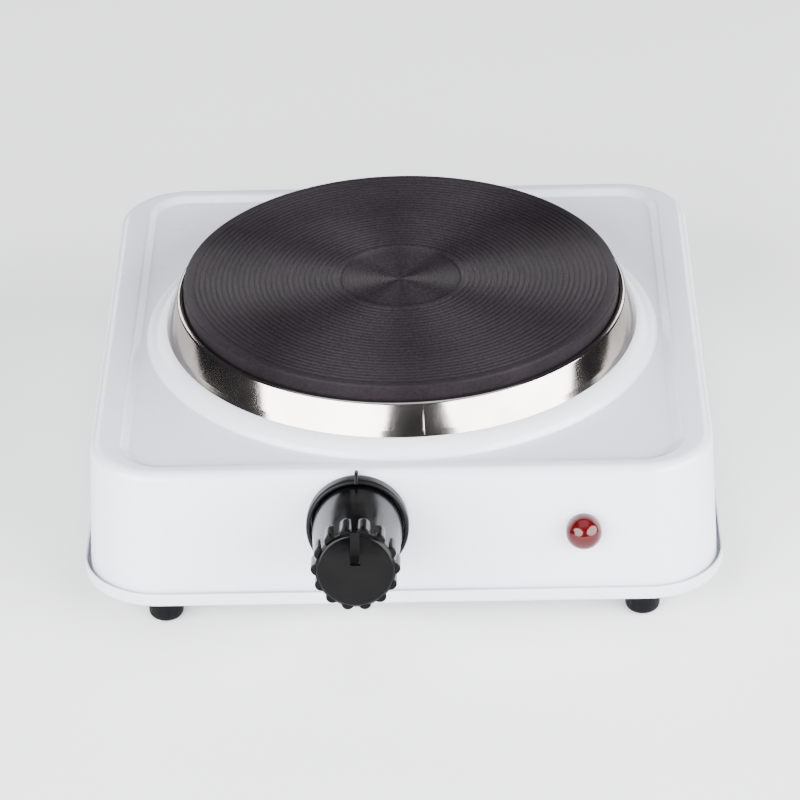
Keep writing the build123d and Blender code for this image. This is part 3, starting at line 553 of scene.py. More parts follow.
@dataclass(frozen=True)
class PolishedSteel:
    """Polished stainless strip, spun to shape, with faint draw marks, random tarnish and a painted dark reflection
    on its left and right sides.
    """

    name: str = "polished_steel"
    colour: Triple = (0.50, 0.47, 0.44)
    # the tarnish colour is also used as a painted dark reflection on the left- and right-facing sides
    tarnish: Triple = (0.165, 0.135, 0.12)

    def build(self) -> Finish:
        """Make the material.

        Returns:
            The material.
        """
        bench = NodeBench(self.name)
        smear = bench.noise(38.0, 5.0, 0.6)
        sideways = bench.span(bench.facing(0), 0, 1, 0.62, 0.9)
        # painted reflection: streaks of the dark tarnish colour on left- and right-facing surfaces stand in for
        # the dark surround reflected there
        painted_dark_reflection = bench.math("MULTIPLY", sideways, bench.span(smear, 0.75, 1.0))
        tarnish_and_painted_reflection = bench.math("MAXIMUM", painted_dark_reflection, bench.span(smear, 0, 0.35, 0.45, 0.75))
        bench.feed("Base Color", bench.blend(tarnish_and_painted_reflection, self.colour, self.tarnish))
        bench.put("Metallic", 1.0)
        bench.feed("Roughness", bench.span(smear, 0.07, 0.17))
        bench.bump(bench.noise(55.0, 3.0, 0.5, (1, 1, 0.35)), 0.10 * MM)
        lines = bench.noise(240.0, 2.0, 0.5, (0.15, 0.15, 14))
        bench.bump(lines, 0.004 * MM)
        return bench.material


@dataclass(frozen=True)
class Phenolic:
    """Moulded black thermoset, glossy or satin."""

    name: str
    colour: Triple
    roughness: tuple[float, float]
    coat: float = 0.3
    gloss: float = 0.4

    def build(self) -> Finish:
        """Make the material.

        Returns:
            The material.
        """
        bench = NodeBench(self.name)
        cloud = bench.noise(160.0, 4.0)
        lighter = tuple(min(1.0, c * 1.35 + 0.001) for c in self.colour)
        bench.feed("Base Color", bench.blend(bench.span(cloud, 0, 1), self.colour, lighter))
        bench.feed("Roughness", bench.span(cloud, *self.roughness))
        bench.put("Specular IOR Level", self.gloss)
        bench.put("Coat Weight", self.coat)
        bench.put("Coat Roughness", 0.08)
        bench.bump(bench.noise(210.0, 2.0), 0.03 * MM)
        return bench.material


@dataclass(frozen=True)
class ClearRed:
    """Clear red moulding with a deep body colour."""

    name: str = "clear_red"
    colour: Triple = (0.105, 0.0035, 0.005)

    def build(self) -> Finish:
        """Make the material.

        Returns:
            The material.
        """
        bench = NodeBench(self.name)
        flow = bench.noise(120.0, 3.0)
        deep = tuple(c * 0.72 for c in self.colour)
        bench.feed("Base Color", bench.blend(bench.span(flow, 0, 1), deep, self.colour))
        bench.feed("Roughness", bench.span(flow, 0.06, 0.14))
        bench.put("IOR", 1.42)
        bench.put("Transmission Weight", 0.45)
        bench.bump(flow, 0.06 * MM)
        return bench.material


@dataclass(frozen=True)
class Rubber:
    """Matt moulded rubber with a fine grain."""

    name: str = "moulded_rubber"
    colour: Triple = (0.0015, 0.0015, 0.002)

    def build(self) -> Finish:
        """Make the material.

        Returns:
            The material.
        """
        bench = NodeBench(self.name)
        grain = bench.noise(700.0, 4.0)
        dusty = tuple(c * 2.0 for c in self.colour)
        bench.feed("Base Color", bench.blend(bench.span(grain, 0, 1), self.colour, dusty))
        bench.feed("Roughness", bench.span(grain, 0.5, 0.68))
        bench.put("Specular IOR Level", 0.08)
        bench.bump(grain, 0.03 * MM)
        return bench.material


@dataclass(frozen=True)
class PlatedMetal:
    """Plated or bare sheet metal with rolled grain and blotches of tarnish."""

    name: str
    colour: Triple
    tarnish: Triple
    roughness: tuple[float, float] = (0.26, 0.42)

    def build(self) -> Finish:
        """Make the material.

        Returns:
            The material.
        """
        bench = NodeBench(self.name)
        blotch = bench.noise(85.0, 5.0, 0.6)
        bench.feed("Base Color", bench.blend(bench.span(blotch, 0, 1), self.colour, self.tarnish))
        bench.put("Metallic", 1.0)
        bench.feed("Roughness", bench.span(blotch, *self.roughness))
        bench.bump(bench.noise(300.0, 3.0, 0.5, (0.2, 3, 1)), 0.01 * MM)
        return bench.material


@dataclass(frozen=True)
class DryBody:
    """Dry, dull body such as steatite, packed powder, nylon or a braided sleeve."""

    name: str
    colour: Triple
    grain_scale: float = 500.0
    grain_depth: float = 0.03 * MM
    roughness: tuple[float, float] = (0.5, 0.75)

    def build(self) -> Finish:
        """Make the material.

        Returns:
            The material.
        """
        bench = NodeBench(self.name)
        grain = bench.noise(self.grain_scale, 4.0)
        darker = tuple(c * 0.8 for c in self.colour)
        bench.feed("Base Color", bench.blend(bench.span(grain, 0, 1), darker, self.colour))
        bench.feed("Roughness", bench.span(grain, *self.roughness))
        bench.bump(grain, self.grain_depth)
        return bench.material


@dataclass(frozen=True)
class BulbGlass:
    """Thin clear glass with a faint ripple."""

    name: str = "bulb_glass"

    def build(self) -> Finish:
        """Make the material.

        Returns:
            The material.
        """
        bench = NodeBench(self.name)
        ripple = bench.noise(300.0, 2.0)
        bench.feed("Base Color", bench.blend(ripple, (0.95, 0.93, 0.92), (1.0, 1.0, 1.0)))
        bench.put("Roughness", 0.04)
        bench.put("Transmission Weight", 1.0)
        bench.bump(ripple, 0.02 * MM)
        return bench.material


# ------------------------------------------------------------------ dressing
@dataclass
class SubAssembly:
    """A group of pieces that is built, dressed and reported together."""

    title: str = "sub-assembly"
    pieces: list[Piece] = field(default_factory=list)

    def keep(self, piece: Piece, finish: Finish, body: Body, slot: str,
             *stands_for: str) -> Piece:
        """Dress a new piece and hang it on a body.

        Args:
            piece: The finished mesh object.
            finish: Its material.
            body: The body that it rides on.
            slot: The record's slot that it takes its finish from; not used.
            stands_for: CAD nodes that it stands for.

        Returns:
            The same piece.
        """
        piece.data.materials.clear()
        piece.data.materials.append(finish)
        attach(piece, body.value)
        if stands_for:
            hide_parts(*stands_for)
        self.pieces.append(piece)
        return piece

    def dress(self, finish: Finish, *nodes: str) -> None:
        """Put a finish on CAD nodes whose shape is right as it is.

        Args:
            finish: The material.
            nodes: Names of the CAD nodes.
        """
        for name in nodes:
            node = frame["nodes"][name]
            for place in node.material_slots:
                place.material = finish
            self.pieces.append(node)

    def report(self) -> None:
        """Log each piece of the group."""
        for piece in self.pieces:
            LOG.info("%s: %s", self.title, piece.name)


# --------------------------------------------------------------------- shell
@dataclass(frozen=True)
class PlanRow:
    """One loop of a pressed case: the reach and height on each wall, and the corner's radius."""

    reach: tuple[float, float, float, float]
    height: tuple[float, float, float, float]
    corner: float


@dataclass
class PlanLoops:
    """Turns plan rows into loops of matching points."""

    side_steps: int = 44
    corner_steps: int = 18
    widest: float = 0.66

    def points(self, row: PlanRow) -> Loop:
        """Points round a row, from the front wall's left end, counter-clockwise.

        Args:
            row: Reach from the middle plane and height, for the front, right, back and left walls.

        Returns:
            Loop of points.
        """
        front, right, back, left = row.reach
        corners = [(right, -front), (right, back), (-left, back), (-left, -front)]
        inward = [(-1, 1), (-1, -1), (1, -1), (1, 1)]
        loop: list[Triple] = []
        spread = np.linspace(-self.widest, self.widest, self.side_steps + 1)
        shares = 0.5 + 0.5 * np.tan(spread) / math.tan(self.widest)
        for side in Side:
            i = side.value
            before = corners[i - 1]
            here = corners[i]
            centre = (here[0] + inward[i][0] * row.corner, here[1] + inward[i][1] * row.corner)
            along = (i % 2)
            start = before[along] + inward[i - 1][along] * row.corner
            end = centre[along]
            for share in shares:
                run = start + (end - start) * share
                place = (here[0], run) if along else (run, here[1])
                loop.append((*place, row.height[i]))
            begin = -math.pi / 2 + i * math.pi / 2
            for k in range(1, self.corner_steps):
                share = k / self.corner_steps
                turn = begin + share * math.pi / 2
                ease = share * share * (3 - 2 * share)
                height = row.height[i] * (1 - ease) + row.height[(i + 1) % 4] * ease
                loop.append((centre[0] + row.corner * math.cos(turn),
                             centre[1] + row.corner * math.sin(turn), height))
        return np.array(loop)


@dataclass
class Shell(SubAssembly):
    """Pressed top shell: leaning front, drafted walls, sunken deck and raised burner seat."""

    title: str = "shell"
    sheet: float = 0.8 * MM
    border_z: float = 58.8 * MM
    front_lean: float = math.radians(10.5)
    draft: float = math.radians(2.2)
    corner: float = 24.9 * MM
    edge_round: float = 3.5 * MM
    mouth_reach: tuple[float, float, float, float] = (95.08 * MM, 96.0 * MM, 100.3 * MM, 96.0 * MM)
    mouth_corner: float = 15.0 * MM
    slope_run: float = 2.9 * MM
    deck_drop: float = 1.8 * MM
    soft_top: float = 3.0 * MM
    soft_foot: float = 1.8 * MM
    seat_foot_r: float = 91.0 * MM
    seat_flat_r: float = 83.0 * MM
    seat_crease: float = 1.2 * MM
    opening_r: float = 73.0 * MM
    tab_reach: float = 14.0 * MM
    tab_width: float = 16.0 * MM
    tab_bevel: float = 0.15 * MM
    screw_bore_r: float = 1.75 * MM
    screw_head_r: float = 3.4 * MM
    bore_reach: float = 4.0 * MM
    top_steps: int = 12
    seat_steps: int = 16
    crisp_degrees: float = 38.0

    def __post_init__(self) -> None:
        """Read the shell's place from the frame."""
        self.low, self.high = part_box("top_shell")
        burner_low, burner_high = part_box("burner_plate")
        self.axis_y = (burner_low.y + burner_high.y) / 2
        self.leans = (self.front_lean, self.draft, self.draft, self.draft)
        self.foot_reach = (self.axis_y - self.low.y, self.high.x, self.high.y - self.axis_y, -self.low.x)
        self.rise = self.border_z - self.low.z

    def head_reach(self) -> tuple[float, ...]:
        """Reach of each wall at the height of the border."""
        return tuple(foot - self.rise * math.tan(lean) for foot, lean in zip(self.foot_reach, self.leans))

    def wall_rows(self) -> list[PlanRow]:
        """Rows up the walls and round the top edge.

        Returns:
            Rows from the foot up to the border.
        """
        head = self.head_reach()
        rows: list[PlanRow] = []
        tangent = [self.edge_round * math.tan((math.pi / 2 - lean) / 2) for lean in self.leans]
        tops = [self.border_z - t * math.cos(lean) for t, lean in zip(tangent, self.leans)]
        for share in (0.0, 0.02, 0.3, 0.65, 0.98):
            heights = [self.low.z + (top - self.low.z) * share for top in tops]
            reach = [foot - (z - self.low.z) * math.tan(lean)
                     for foot, z, lean in zip(self.foot_reach, heights, self.leans)]
            rows.append(PlanRow(tuple(reach), tuple(heights), self.corner))
        steps = self.top_steps
        for k in range(steps + 1):
            reach, heights = [], []
            for edge, t, lean in zip(head, tangent, self.leans):
                turn = lean + (math.pi / 2 - lean) * k / steps
                reach.append(edge - t + self.edge_round * math.cos(turn))
                heights.append(self.border_z - self.edge_round * (1 - math.sin(turn)))
            shrink = self.edge_round * (1 - math.cos(math.pi / 2 * k / steps))
            rows.append(PlanRow(tuple(reach), tuple(heights), self.corner - shrink))
        return rows

    def slope_profile(self) -> Outline:
        """Inset and drop along the soft slope from the border to the deck.

        Returns:
            Points from the border inwards.
        """
        corners = [(-self.soft_top, 0.0), (0.0, 0.0), (self.slope_run, self.deck_drop),
                   (self.slope_run + self.soft_foot, self.deck_drop)]
        return MeshTool.rounded(corners, [0, self.soft_top, self.soft_foot, 0], 8, closed=False)

    def deck_rows(self) -> list[PlanRow]:
        """Rows from the border down the slope to the flat of the deck.

        Returns:
            Rows down to the deck.
        """
        rows: list[PlanRow] = []
        for inset, drop in self.slope_profile()[1:-1]:
            reach = tuple(r - inset for r in self.mouth_reach)
            rows.append(PlanRow(reach, (self.border_z - drop,) * 4, self.mouth_corner - inset))
        return rows

    def seat_profile(self) -> Outline:
        """Radius and height from the deck up the raised seat to the opening.

        Returns:
            Radius and height of each point.
        """
        run = self.seat_foot_r - self.seat_flat_r
        deck_z = self.border_z - self.deck_drop
        rise = self.high.z - deck_z
        arc_r = (run ** 2 + rise ** 2) / (2 * rise)
        sweep = math.asin(run / arc_r)
        centre_z = self.high.z - arc_r
        turns = [sweep * (1 - k / self.seat_steps) for k in range(self.seat_steps + 1)]
        arc = [(self.seat_flat_r + arc_r * math.sin(t), centre_z + arc_r * math.cos(t)) for t in turns]
        reach = self.seat_crease * math.tan(sweep / 2)
        creased = MeshTool.rounded([(self.seat_foot_r + reach * 2, deck_z), arc[0], arc[3]],
                                   [0, self.seat_crease * 0.8, 0], 7, closed=False)
        profile = creased[1:-1] + arc[3:]
        profile += [(self.seat_flat_r - 1.5 * MM, self.high.z), (self.opening_r + 0.2 * MM, self.high.z),
                    (self.opening_r, self.high.z - 0.2 * MM)]
        return profile

    def outer_loops(self) -> list[Loop]:
        """All loops of the outer face, from the foot of the walls to the opening.

        Returns:
            Loops in order along the face.
        """
        planner = PlanLoops()
        loops = [planner.points(row) for row in self.wall_rows() + self.deck_rows()]
        last = loops[-1]
        angles = np.arctan2(last[:, 1], last[:, 0])
        seat = [MeshTool.circle(r, z, angles) for r, z in self.seat_profile()]
        for share in (0.35, 0.7):
            loops.append(last * (1 - share) + seat[0] * share)
        loops += seat
        for loop in loops:
            loop[:, 1] += self.axis_y
        return loops

    def inner_loops(self, outer: list[Loop]) -> list[Loop]:
        """Outer loops moved in by the sheet's thickness.

        Args:
            outer: Loops of the outer face.

        Returns:
            Loops of the inner face, in the same order.
        """
        grid = np.stack(outer)
        along = np.empty_like(grid)
        along[1:-1] = grid[2:] - grid[:-2]
        along[0] = grid[1] - grid[0]
        along[-1] = grid[-2] - grid[-3]
        round_way = np.roll(grid, -1, axis=1) - np.roll(grid, 1, axis=1)
        normal = np.cross(round_way, along)
        normal /= np.linalg.norm(normal, axis=2, keepdims=True)
        inner = grid - normal * self.sheet
        inner[0, :, 2] = self.low.z
        inner[-1, :, 2] = self.high.z - self.sheet
        middle = np.array([0.0, self.axis_y])
        spoke = inner[-1, :, :2] - middle
        inner[-1, :, :2] = middle + spoke / np.linalg.norm(spoke, axis=1, keepdims=True) * self.opening_r
        return list(inner)

    def bore(self, centre: Vector, axis: Vector, radius: float, piece: Piece) -> None:
        """Cut a round hole through a wall.

        Args:
            centre: A point on the hole's axis, in the wall.
            axis: Direction of the hole.
            radius: Radius of the hole.
            piece: The piece to cut.
        """
        turn = Matrix.Translation(centre) @ axis.to_track_quat("Z", "Y").to_matrix().to_4x4()
        reach = self.bore_reach
        tool = MeshTool.spin("bore", [(0, -reach), (radius, -reach), (radius, reach), (0, reach)], 48)
        MeshTool.combine(piece, MeshTool.place(tool, turn), "DIFFERENCE")

    def add_tabs(self, piece: Piece) -> None:
        """Join on the inturned tabs that the pan's screws bite into.

        Args:
            piece: The shell, which the tabs join.
        """
        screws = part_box("pan_screws")
        reach_x = self.high.x - self.sheet / 2
        tab_y = self.axis_y - (screws[0].y + self.screw_head_r)
        for side in (-1, 1):
            for end in (-1, 1):
                y = self.axis_y + end * tab_y
                x_in = side * (self.high.x - self.sheet - self.tab_reach)
                ends = sorted([side * reach_x, x_in])
                low = Vector((ends[0], y - self.tab_width / 2, self.low.z))
                high = Vector((ends[1], y + self.tab_width / 2, self.low.z + self.sheet))
                tab = MeshTool.box("tab", low, high, self.tab_bevel, 2)
                hole = Vector((side * (self.high.x - self.sheet - self.tab_reach / 2), y, self.low.z))
                self.bore(hole, Vector((0, 0, 1)), self.screw_bore_r, tab)
                MeshTool.combine(piece, tab, "UNION")

    def build(self, seats: "WallSeats") -> None:
        """Make and dress the shell.

        Args:
            seats: Where the control, the lamp and the mains entry pass through the walls.
        """
        outer = self.outer_loops()
        inner = self.inner_loops(outer)
        piece = MeshTool.skin("case_shell", outer + inner[::-1], closed=True)
        for centre, axis, radius in seats.holes():
            self.bore(centre, axis, radius, piece)
        self.add_tabs(piece)
        MeshTool.split_edges(piece, self.crisp_degrees)
        self.keep(piece, Enamel().build(), Body.HOUSING, "enamel", "top_shell")


@dataclass
class WallSeats:
    """Places on the walls that other sub-assemblies are built about."""

    bush_r: float = 4.9 * MM
    screw_r: float = 1.8 * MM
    screw_offset: float = 10.0 * MM
    lamp_r: float = 4.6 * MM
    gland_r: float = 6.0 * MM
    gland_flange: float = 2.4 * MM

    def __post_init__(self) -> None:
        """Read the control's axis from its joint, and the rest from the CAD nodes and mounts."""
        joint = next(j for j in frame["joints"] if j["name"] == "knob_turn")
        self.knob_origin = Vector(joint["pos_m"])
        self.front_normal = -Vector(joint["axis"]).normalized()
        entry = next(m for m in frame["record"]["mounts"] if m["name"] == "cord_entry")
        self.back_normal = Vector(entry["axis"]).normalized()
        self.gland_mid = Vector(entry["pos_m"])
        self.gland_half = entry["dims"]["length_mm"] * MM / 2

    @staticmethod
    def seat_matrix(origin: Vector, normal: Vector) -> Matrix:
        """Local frame on a wall: x along it, y up it, z out of it.

        Args:
            origin: Origin of the frame.
            normal: The wall's outward normal.

        Returns:
            The frame as a matrix.
        """
        x_dir = Vector((1, 0, 0)) if normal.y < 0 else Vector((-1, 0, 0))
        y_dir = normal.cross(x_dir)
        turn = Matrix((x_dir, y_dir, normal)).transposed().to_4x4()
        return Matrix.Translation(origin) @ turn

    def knob(self) -> Matrix:
        """Frame of the control on the front wall."""
        return self.seat_matrix(self.knob_origin, self.front_normal)

    def lamp(self) -> Matrix:
        """Frame of the pilot lamp on the front wall, from the stem's own axis.

        Returns:
            The frame as a matrix.
        """
        low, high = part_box("lamp_speed_nut")
        middle = (low + high) / 2
        depth = (self.knob_origin - middle).dot(self.front_normal)
        return self.seat_matrix(middle + self.front_normal * depth, self.front_normal)

    def gland(self) -> Matrix:
        """Frame of the cable gland on the back wall, where its flange seats."""
        origin = self.gland_mid + self.back_normal * (self.gland_half - self.gland_flange)
        return self.seat_matrix(origin, self.back_normal)

    def holes(self) -> list[tuple[Vector, Vector, float]]:
        """Centre, axis and radius of each hole in the walls.

        Returns:
            One row for each hole.
        """
        knob, lamp, gland = self.knob(), self.lamp(), self.gland()
        up = knob.to_3x3() @ Vector((0, self.screw_offset, 0))
        return [(knob.translation, self.front_normal, self.bush_r),
                (knob.translation + up, self.front_normal, self.screw_r),
                (knob.translation - up, self.front_normal, self.screw_r),
                (lamp.translation, self.front_normal, self.lamp_r),
                (gland.translation, self.back_normal, self.gland_r)]


# ----------------------------------------------------------------------- pan
@dataclass
class Pan(SubAssembly):
    """Shallow pressed pan under the shell, with vents and fixing holes."""

    title: str = "pan"
    sheet: float = 0.8 * MM
    corner: float = 27.0 * MM
    foot_round: float = 1.6 * MM
    inner_round: float = 0.36 * MM
    rim_round: float = 0.3 * MM
    vent_length: float = 34.0 * MM
    vent_width: float = 4.0 * MM
    vent_pitch: float = 9.0 * MM
    vents_a_side: int = 7
    vent_inset: float = 8.0 * MM
    foot_bore_r: float = 3.5 * MM
    screw_head_r: float = 3.4 * MM
    screw_bore_r: float = 1.75 * MM
    block_bore_r: float = 1.5 * MM
    earth_bore_r: float = 2.0 * MM
    cut_below: float = 2.0 * MM
    cut_above: float = 3.0 * MM
    least_corner: float = 3.0 * MM
    crisp_degrees: float = 38.0

    def section(self) -> Outline:
        """Inset and height from the underside, round the rim, to the inner floor.

        Returns:
            Points of the section.
        """
        low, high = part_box("bottom_pan")
        base, top = low.z, high.z
        corners = [(self.corner * 0.8, base), (0.0, base), (0.0, top), (self.sheet, top),
                   (self.sheet, base + self.sheet), (self.corner * 0.8, base + self.sheet)]
        radii = [0, self.foot_round, self.rim_round, self.rim_round, self.inner_round, 0]
        return MeshTool.rounded(corners, radii, 6, closed=False)

    def cutter(self, axis_y: float) -> Piece:
        """One object that holds every hole of the pan.

        Args:
            axis_y: Middle of the case from front to back.

        Returns:
            The joined cutting tools.
        """
        floor_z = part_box("bottom_pan")[0].z
        base = floor_z - self.cut_below
        top = floor_z + self.cut_above
        tools: list[Piece] = []
        angles = np.linspace(-math.pi / 2, math.pi / 2, 13)
        radius = self.vent_width / 2
        straight = self.vent_length / 2 - radius
        right = np.stack([straight + radius * np.cos(angles), radius * np.sin(angles)], axis=1)
        plan = np.vstack([right, -right])
        for side in (-1, 1):
            for i in range(self.vents_a_side):
                y = axis_y + (i - (self.vents_a_side - 1) / 2) * self.vent_pitch
                x = side * (self.vent_length / 2 + self.vent_inset)
                loops = [np.column_stack([plan[:, 0] + x, plan[:, 1] + y, np.full(len(plan), z)])
                         for z in (base, top)]
                tools.append(MeshTool.skin("vent", loops))
        for centre, bore in self.bores():
            tool = MeshTool.spin("bore", [(0, base), (bore, base), (bore, top), (0, top)], 40)
            tools.append(MeshTool.place(tool, Matrix.Translation((centre[0], centre[1], 0))))
        work = bmesh.new()
        for tool in tools:
            work.from_mesh(tool.data)
            bpy.data.objects.remove(tool)
        mesh = bpy.data.meshes.new("pan_holes")
        work.to_mesh(mesh)
        work.free()
        return MeshTool.link_mesh("pan_holes", mesh)

    def bores(self) -> list[tuple[tuple[float, float], float]]:
        """Centre and radius of each round hole, read from what passes through it.

        Returns:
            One row for each hole.
        """
        found = [(plan_middle(name), self.foot_bore_r) for name in FEET_NODES]
        low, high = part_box("pan_screws")
        for x in (low.x + self.screw_head_r, high.x - self.screw_head_r):
            for y in (low.y + self.screw_head_r, high.y - self.screw_head_r):
                found.append(((x, y), self.screw_bore_r))
        found.append((plan_middle("mains_block_screw"), self.block_bore_r))
        found.append((plan_middle("earth_screw"), self.earth_bore_r))
        return found

    def build(self, seats: WallSeats) -> None:
        """Make and dress the pan.

        Args:
            seats: Places on the walls, which the pan doesn't use.
        """
        low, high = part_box("bottom_pan")
        middle_y = (low.y + high.y) / 2
        half_w, half_d = high.x, (high.y - low.y) / 2
        planner = PlanLoops()
        loops = []
        for inset, z in self.section():
            corner = max(self.corner - inset, self.least_corner)
            row = PlanRow((half_d - inset, half_w - inset) * 2, (z,) * 4, corner)
            loop = planner.points(row)
            loop[:, 1] += middle_y
            loops.append(loop)
        piece = MeshTool.skin("bottom_tray", loops)
        MeshTool.combine(piece, self.cutter(middle_y), "DIFFERENCE")
        MeshTool.split_edges(piece, self.crisp_degrees)
        # painted shade: the pan takes a darker copy of the shell's white enamel, though both are the same paint
        finish = Enamel(name="pan_enamel", light=(0.64, 0.655, 0.69), shade=(0.61, 0.63, 0.67)).build()
        self.keep(piece, finish, Body.HOUSING, "pan_enamel", "bottom_pan")


# -------------------------------------------------------------------- burner
@dataclass
class Burner(SubAssembly):
    """Grooved cast-iron plate in a polished trim ring."""

    title: str = "burner"
    recess_r: float = 21.8 * MM
    recess_drop: float = 1.1 * MM
    groove_first_r: float = 24.4 * MM
    groove_pitch: float = 1.96 * MM
    groove_width: float = 1.15 * MM
    groove_depth: float = 0.35 * MM
    edge_round: float = 0.9 * MM
    under_r: float = 71.5 * MM
    rim_thick: float = 11.0 * MM
    under_corner: float = 0.6 * MM
    channel_radii: tuple[float, ...] = (30.0 * MM, 44.0 * MM, 58.0 * MM)
    channel_width: float = 9.0 * MM
    channel_depth: float = 8.0 * MM
    hollow: tuple[float, float] = (11.0 * MM, 21.5 * MM)
    stud_r: float = 3.0 * MM
    stud_depth: float = 6.0 * MM
    ring_sheet: float = 0.6 * MM
    ring_bend: float = 0.9 * MM
    ring_gap: float = 0.15 * MM
    ring_crown: float = 1.7 * MM
    ring_flare: tuple[float, float] = (4.22 * MM, 3.4 * MM)
    ring_hem: float = 2.0 * MM
    hem_bend: float = 1.2 * MM
    hem_lean: float = 0.4
    ledge_width: float = 3.4 * MM
    least_bend: float = 0.12 * MM
    rim_land: float = 2.4 * MM
    groove_steps: int = 8
    lip_inset: tuple[float, ...] = (1.3 * MM, 0.8 * MM, 0.25 * MM)
    lip_rise: float = 0.12 * MM
    lip_drop: tuple[float, float] = (0.25 * MM, 0.04 * MM)
    lip_out: float = 0.3 * MM
    weld_angle: float = math.radians(-84.6)
    weld_half: float = math.radians(0.16)
    weld_proud: float = 0.05 * MM
    weld_ends: tuple[float, float] = (0.8 * MM, 1.2 * MM)
    weld_from: float = 1.6 * MM
    weld_columns: tuple[float, ...] = (-2.2, -1.1, -0.6, 0.0, 0.6, 1.1, 2.2)
    plate_columns: int = 288
    ring_columns: int = 320

    def __post_init__(self) -> None:
        """Read the plate's place from the frame."""
        self.low, self.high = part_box("burner_plate")
        self.radius = self.high.x
        self.centre = Vector((0.0, (self.low.y + self.high.y) / 2, 0.0))

    def groove_radii(self) -> list[float]:
        """Radius of the middle of each groove.

        Returns:
            The radii, from the inside out.
        """
        last = self.radius - self.rim_land
        count = int((last - self.groove_first_r) / self.groove_pitch) + 1
        return [self.groove_first_r + self.groove_pitch * i for i in range(count)]

    def plate_outline(self) -> Outline:
        """Section of the plate from the middle of its face round to the stud's bore.

        Returns:
            Outline that starts and ends on the axis.
        """
        top, base = self.high.z, self.low.z
        floor = top - self.recess_drop
        outline = [(0.0, floor)]
        outline += [(r * MM, floor) for r in (4.0, 9.0, 14.0, 18.0)]
        outline += [(self.recess_r - self.lip_inset[0], floor),
                    (self.recess_r - self.lip_inset[1], floor + self.lip_rise),
                    (self.recess_r - self.lip_inset[2], top - self.lip_drop[0]),
                    (self.recess_r, top - self.lip_drop[1]), (self.recess_r + self.lip_out, top)]
        for radius in self.groove_radii():
            for k in range(self.groove_steps + 1):
                share = k / self.groove_steps
                dip = self.groove_depth * (0.5 - 0.5 * math.cos(2 * math.pi * share))
                outline.append((radius + (share - 0.5) * self.groove_width, top - dip))
        rim_z = top - self.rim_thick
        shoulder = MeshTool.rounded(
            [(self.radius - 2 * self.edge_round, top), (self.radius, top), (self.radius, rim_z),
             (self.under_r, rim_z), (self.under_r, base), (self.under_r - 2 * MM, base)],
            [0, self.edge_round, self.under_corner, 0.3 * MM, 0.5 * MM, 0], 6, closed=False)
        outline += shoulder
        roof = base + self.channel_depth
        for radius in reversed(self.channel_radii):
            half = self.channel_width / 2
            outline += [(radius + half, base), (radius + half, roof), (radius - half, roof),
                        (radius - half, base)]
        stud_top = base + self.stud_depth
        outline += [(self.hollow[1], base), (self.hollow[1], roof), (self.hollow[0], roof),
                    (self.hollow[0], base), (self.stud_r, base), (self.stud_r, stud_top), (0.0, stud_top)]
        return outline

    def ring_outline(self) -> Outline:
        """Closed section of the trim ring's bent sheet.

        Returns:
            Points of the section.
        """
        low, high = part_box("trim_ring")
        half = self.ring_sheet / 2
        crown = high.z - half
        inner = self.radius + self.ring_gap + half
        outer = inner + self.ring_crown
        ledge = self.high.z - self.rim_thick - half
        middle = [(outer + self.ring_flare[0], low.z), (outer + self.ring_flare[1], low.z + self.ring_hem),
                  (outer, crown), (inner, crown), (inner, ledge), (inner - self.ledge_width, ledge)]
        bends = [0, self.hem_bend, self.ring_bend, self.ring_bend, self.ring_bend, 0]
        return self.strip(middle, bends, half)

    def strip(self, middle: Outline, bends: list[float], half: float) -> Outline:
        """Give a bent line a thickness.

        Args:
            middle: Corners of the sheet's middle line.
            bends: Bend radius at each corner, on the middle line.
            half: Half of the sheet's thickness.

        Returns:
            Closed outline of the sheet.
        """
        sides: list[Outline] = []
        for way in (1, -1):
            corners: Outline = []
            radii: list[float] = []
            for i, point in enumerate(middle):
                here = Vector(point)
                before = (here - Vector(middle[i - 1])).normalized() if i > 0 else None
                after = (Vector(middle[i + 1]) - here).normalized() if i + 1 < len(middle) else None
                first = before or after
                second = after or before
                normal = (Vector((-first.y, first.x)) + Vector((-second.y, second.x))).normalized()
                reach = half / normal.dot(Vector((-first.y, first.x)))
                corners.append(tuple(here + normal * reach * way))
                turn = first.x * second.y - first.y * second.x
                bend = max(bends[i] - half * way * (1 if turn > 0 else -1), self.least_bend)
                radii.append(bend if bends[i] else 0)
            foot, level = corners[0], middle[0][1]
            corners[0] = (foot[0] + (level - foot[1]) * self.hem_lean, level)
            sides.append(MeshTool.rounded(corners, radii, 6, closed=False))
        return sides[0] + sides[1][::-1]

    def add_weld(self, ring: Piece) -> None:
        """Raise a thin weld line on the ring's outer skirt.

        Args:
            ring: The ring about the Z axis.
        """
        low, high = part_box("trim_ring")
        for vertex in ring.data.vertices:
            angle = math.atan2(vertex.co.y, vertex.co.x)
            offset = abs(angle - self.weld_angle)
            radius = math.hypot(vertex.co.x, vertex.co.y)
            inside = low.z + self.weld_ends[0] < vertex.co.z < high.z - self.weld_ends[1]
            if offset < self.weld_half and inside and radius > self.radius + self.weld_from:
                scale = (radius + self.weld_proud) / radius
                vertex.co.x *= scale
                vertex.co.y *= scale

    def build(self, seats: WallSeats) -> None:
        """Make and dress the plate and the ring.

        Args:
            seats: Places on the walls, which the burner doesn't use.
        """
        shift = Matrix.Translation(self.centre)
        plate = MeshTool.spin("cast_plate", self.plate_outline(), self.plate_columns)
        MeshTool.split_edges(MeshTool.place(plate, shift), 35)
        self.keep(plate, CastIron(centre=self.centre).build(), Body.HOUSING, "cast_iron", "burner_plate")
        even = np.linspace(-math.pi, math.pi, self.ring_columns, endpoint=False)
        seam = self.weld_angle + self.weld_half * np.array(self.weld_columns)
        angles = np.sort(np.concatenate([even[np.abs(even - self.weld_angle) > self.weld_half * 3], seam]))
        loops = [MeshTool.circle(r, z, angles) for r, z in self.ring_outline()]
        ring = MeshTool.skin("trim_hoop", loops, closed=True)
        self.add_weld(ring)
        MeshTool.split_edges(MeshTool.place(ring, shift), 50)
        self.keep(ring, PolishedSteel().build(), Body.HOUSING, "chrome_trim", "trim_ring")


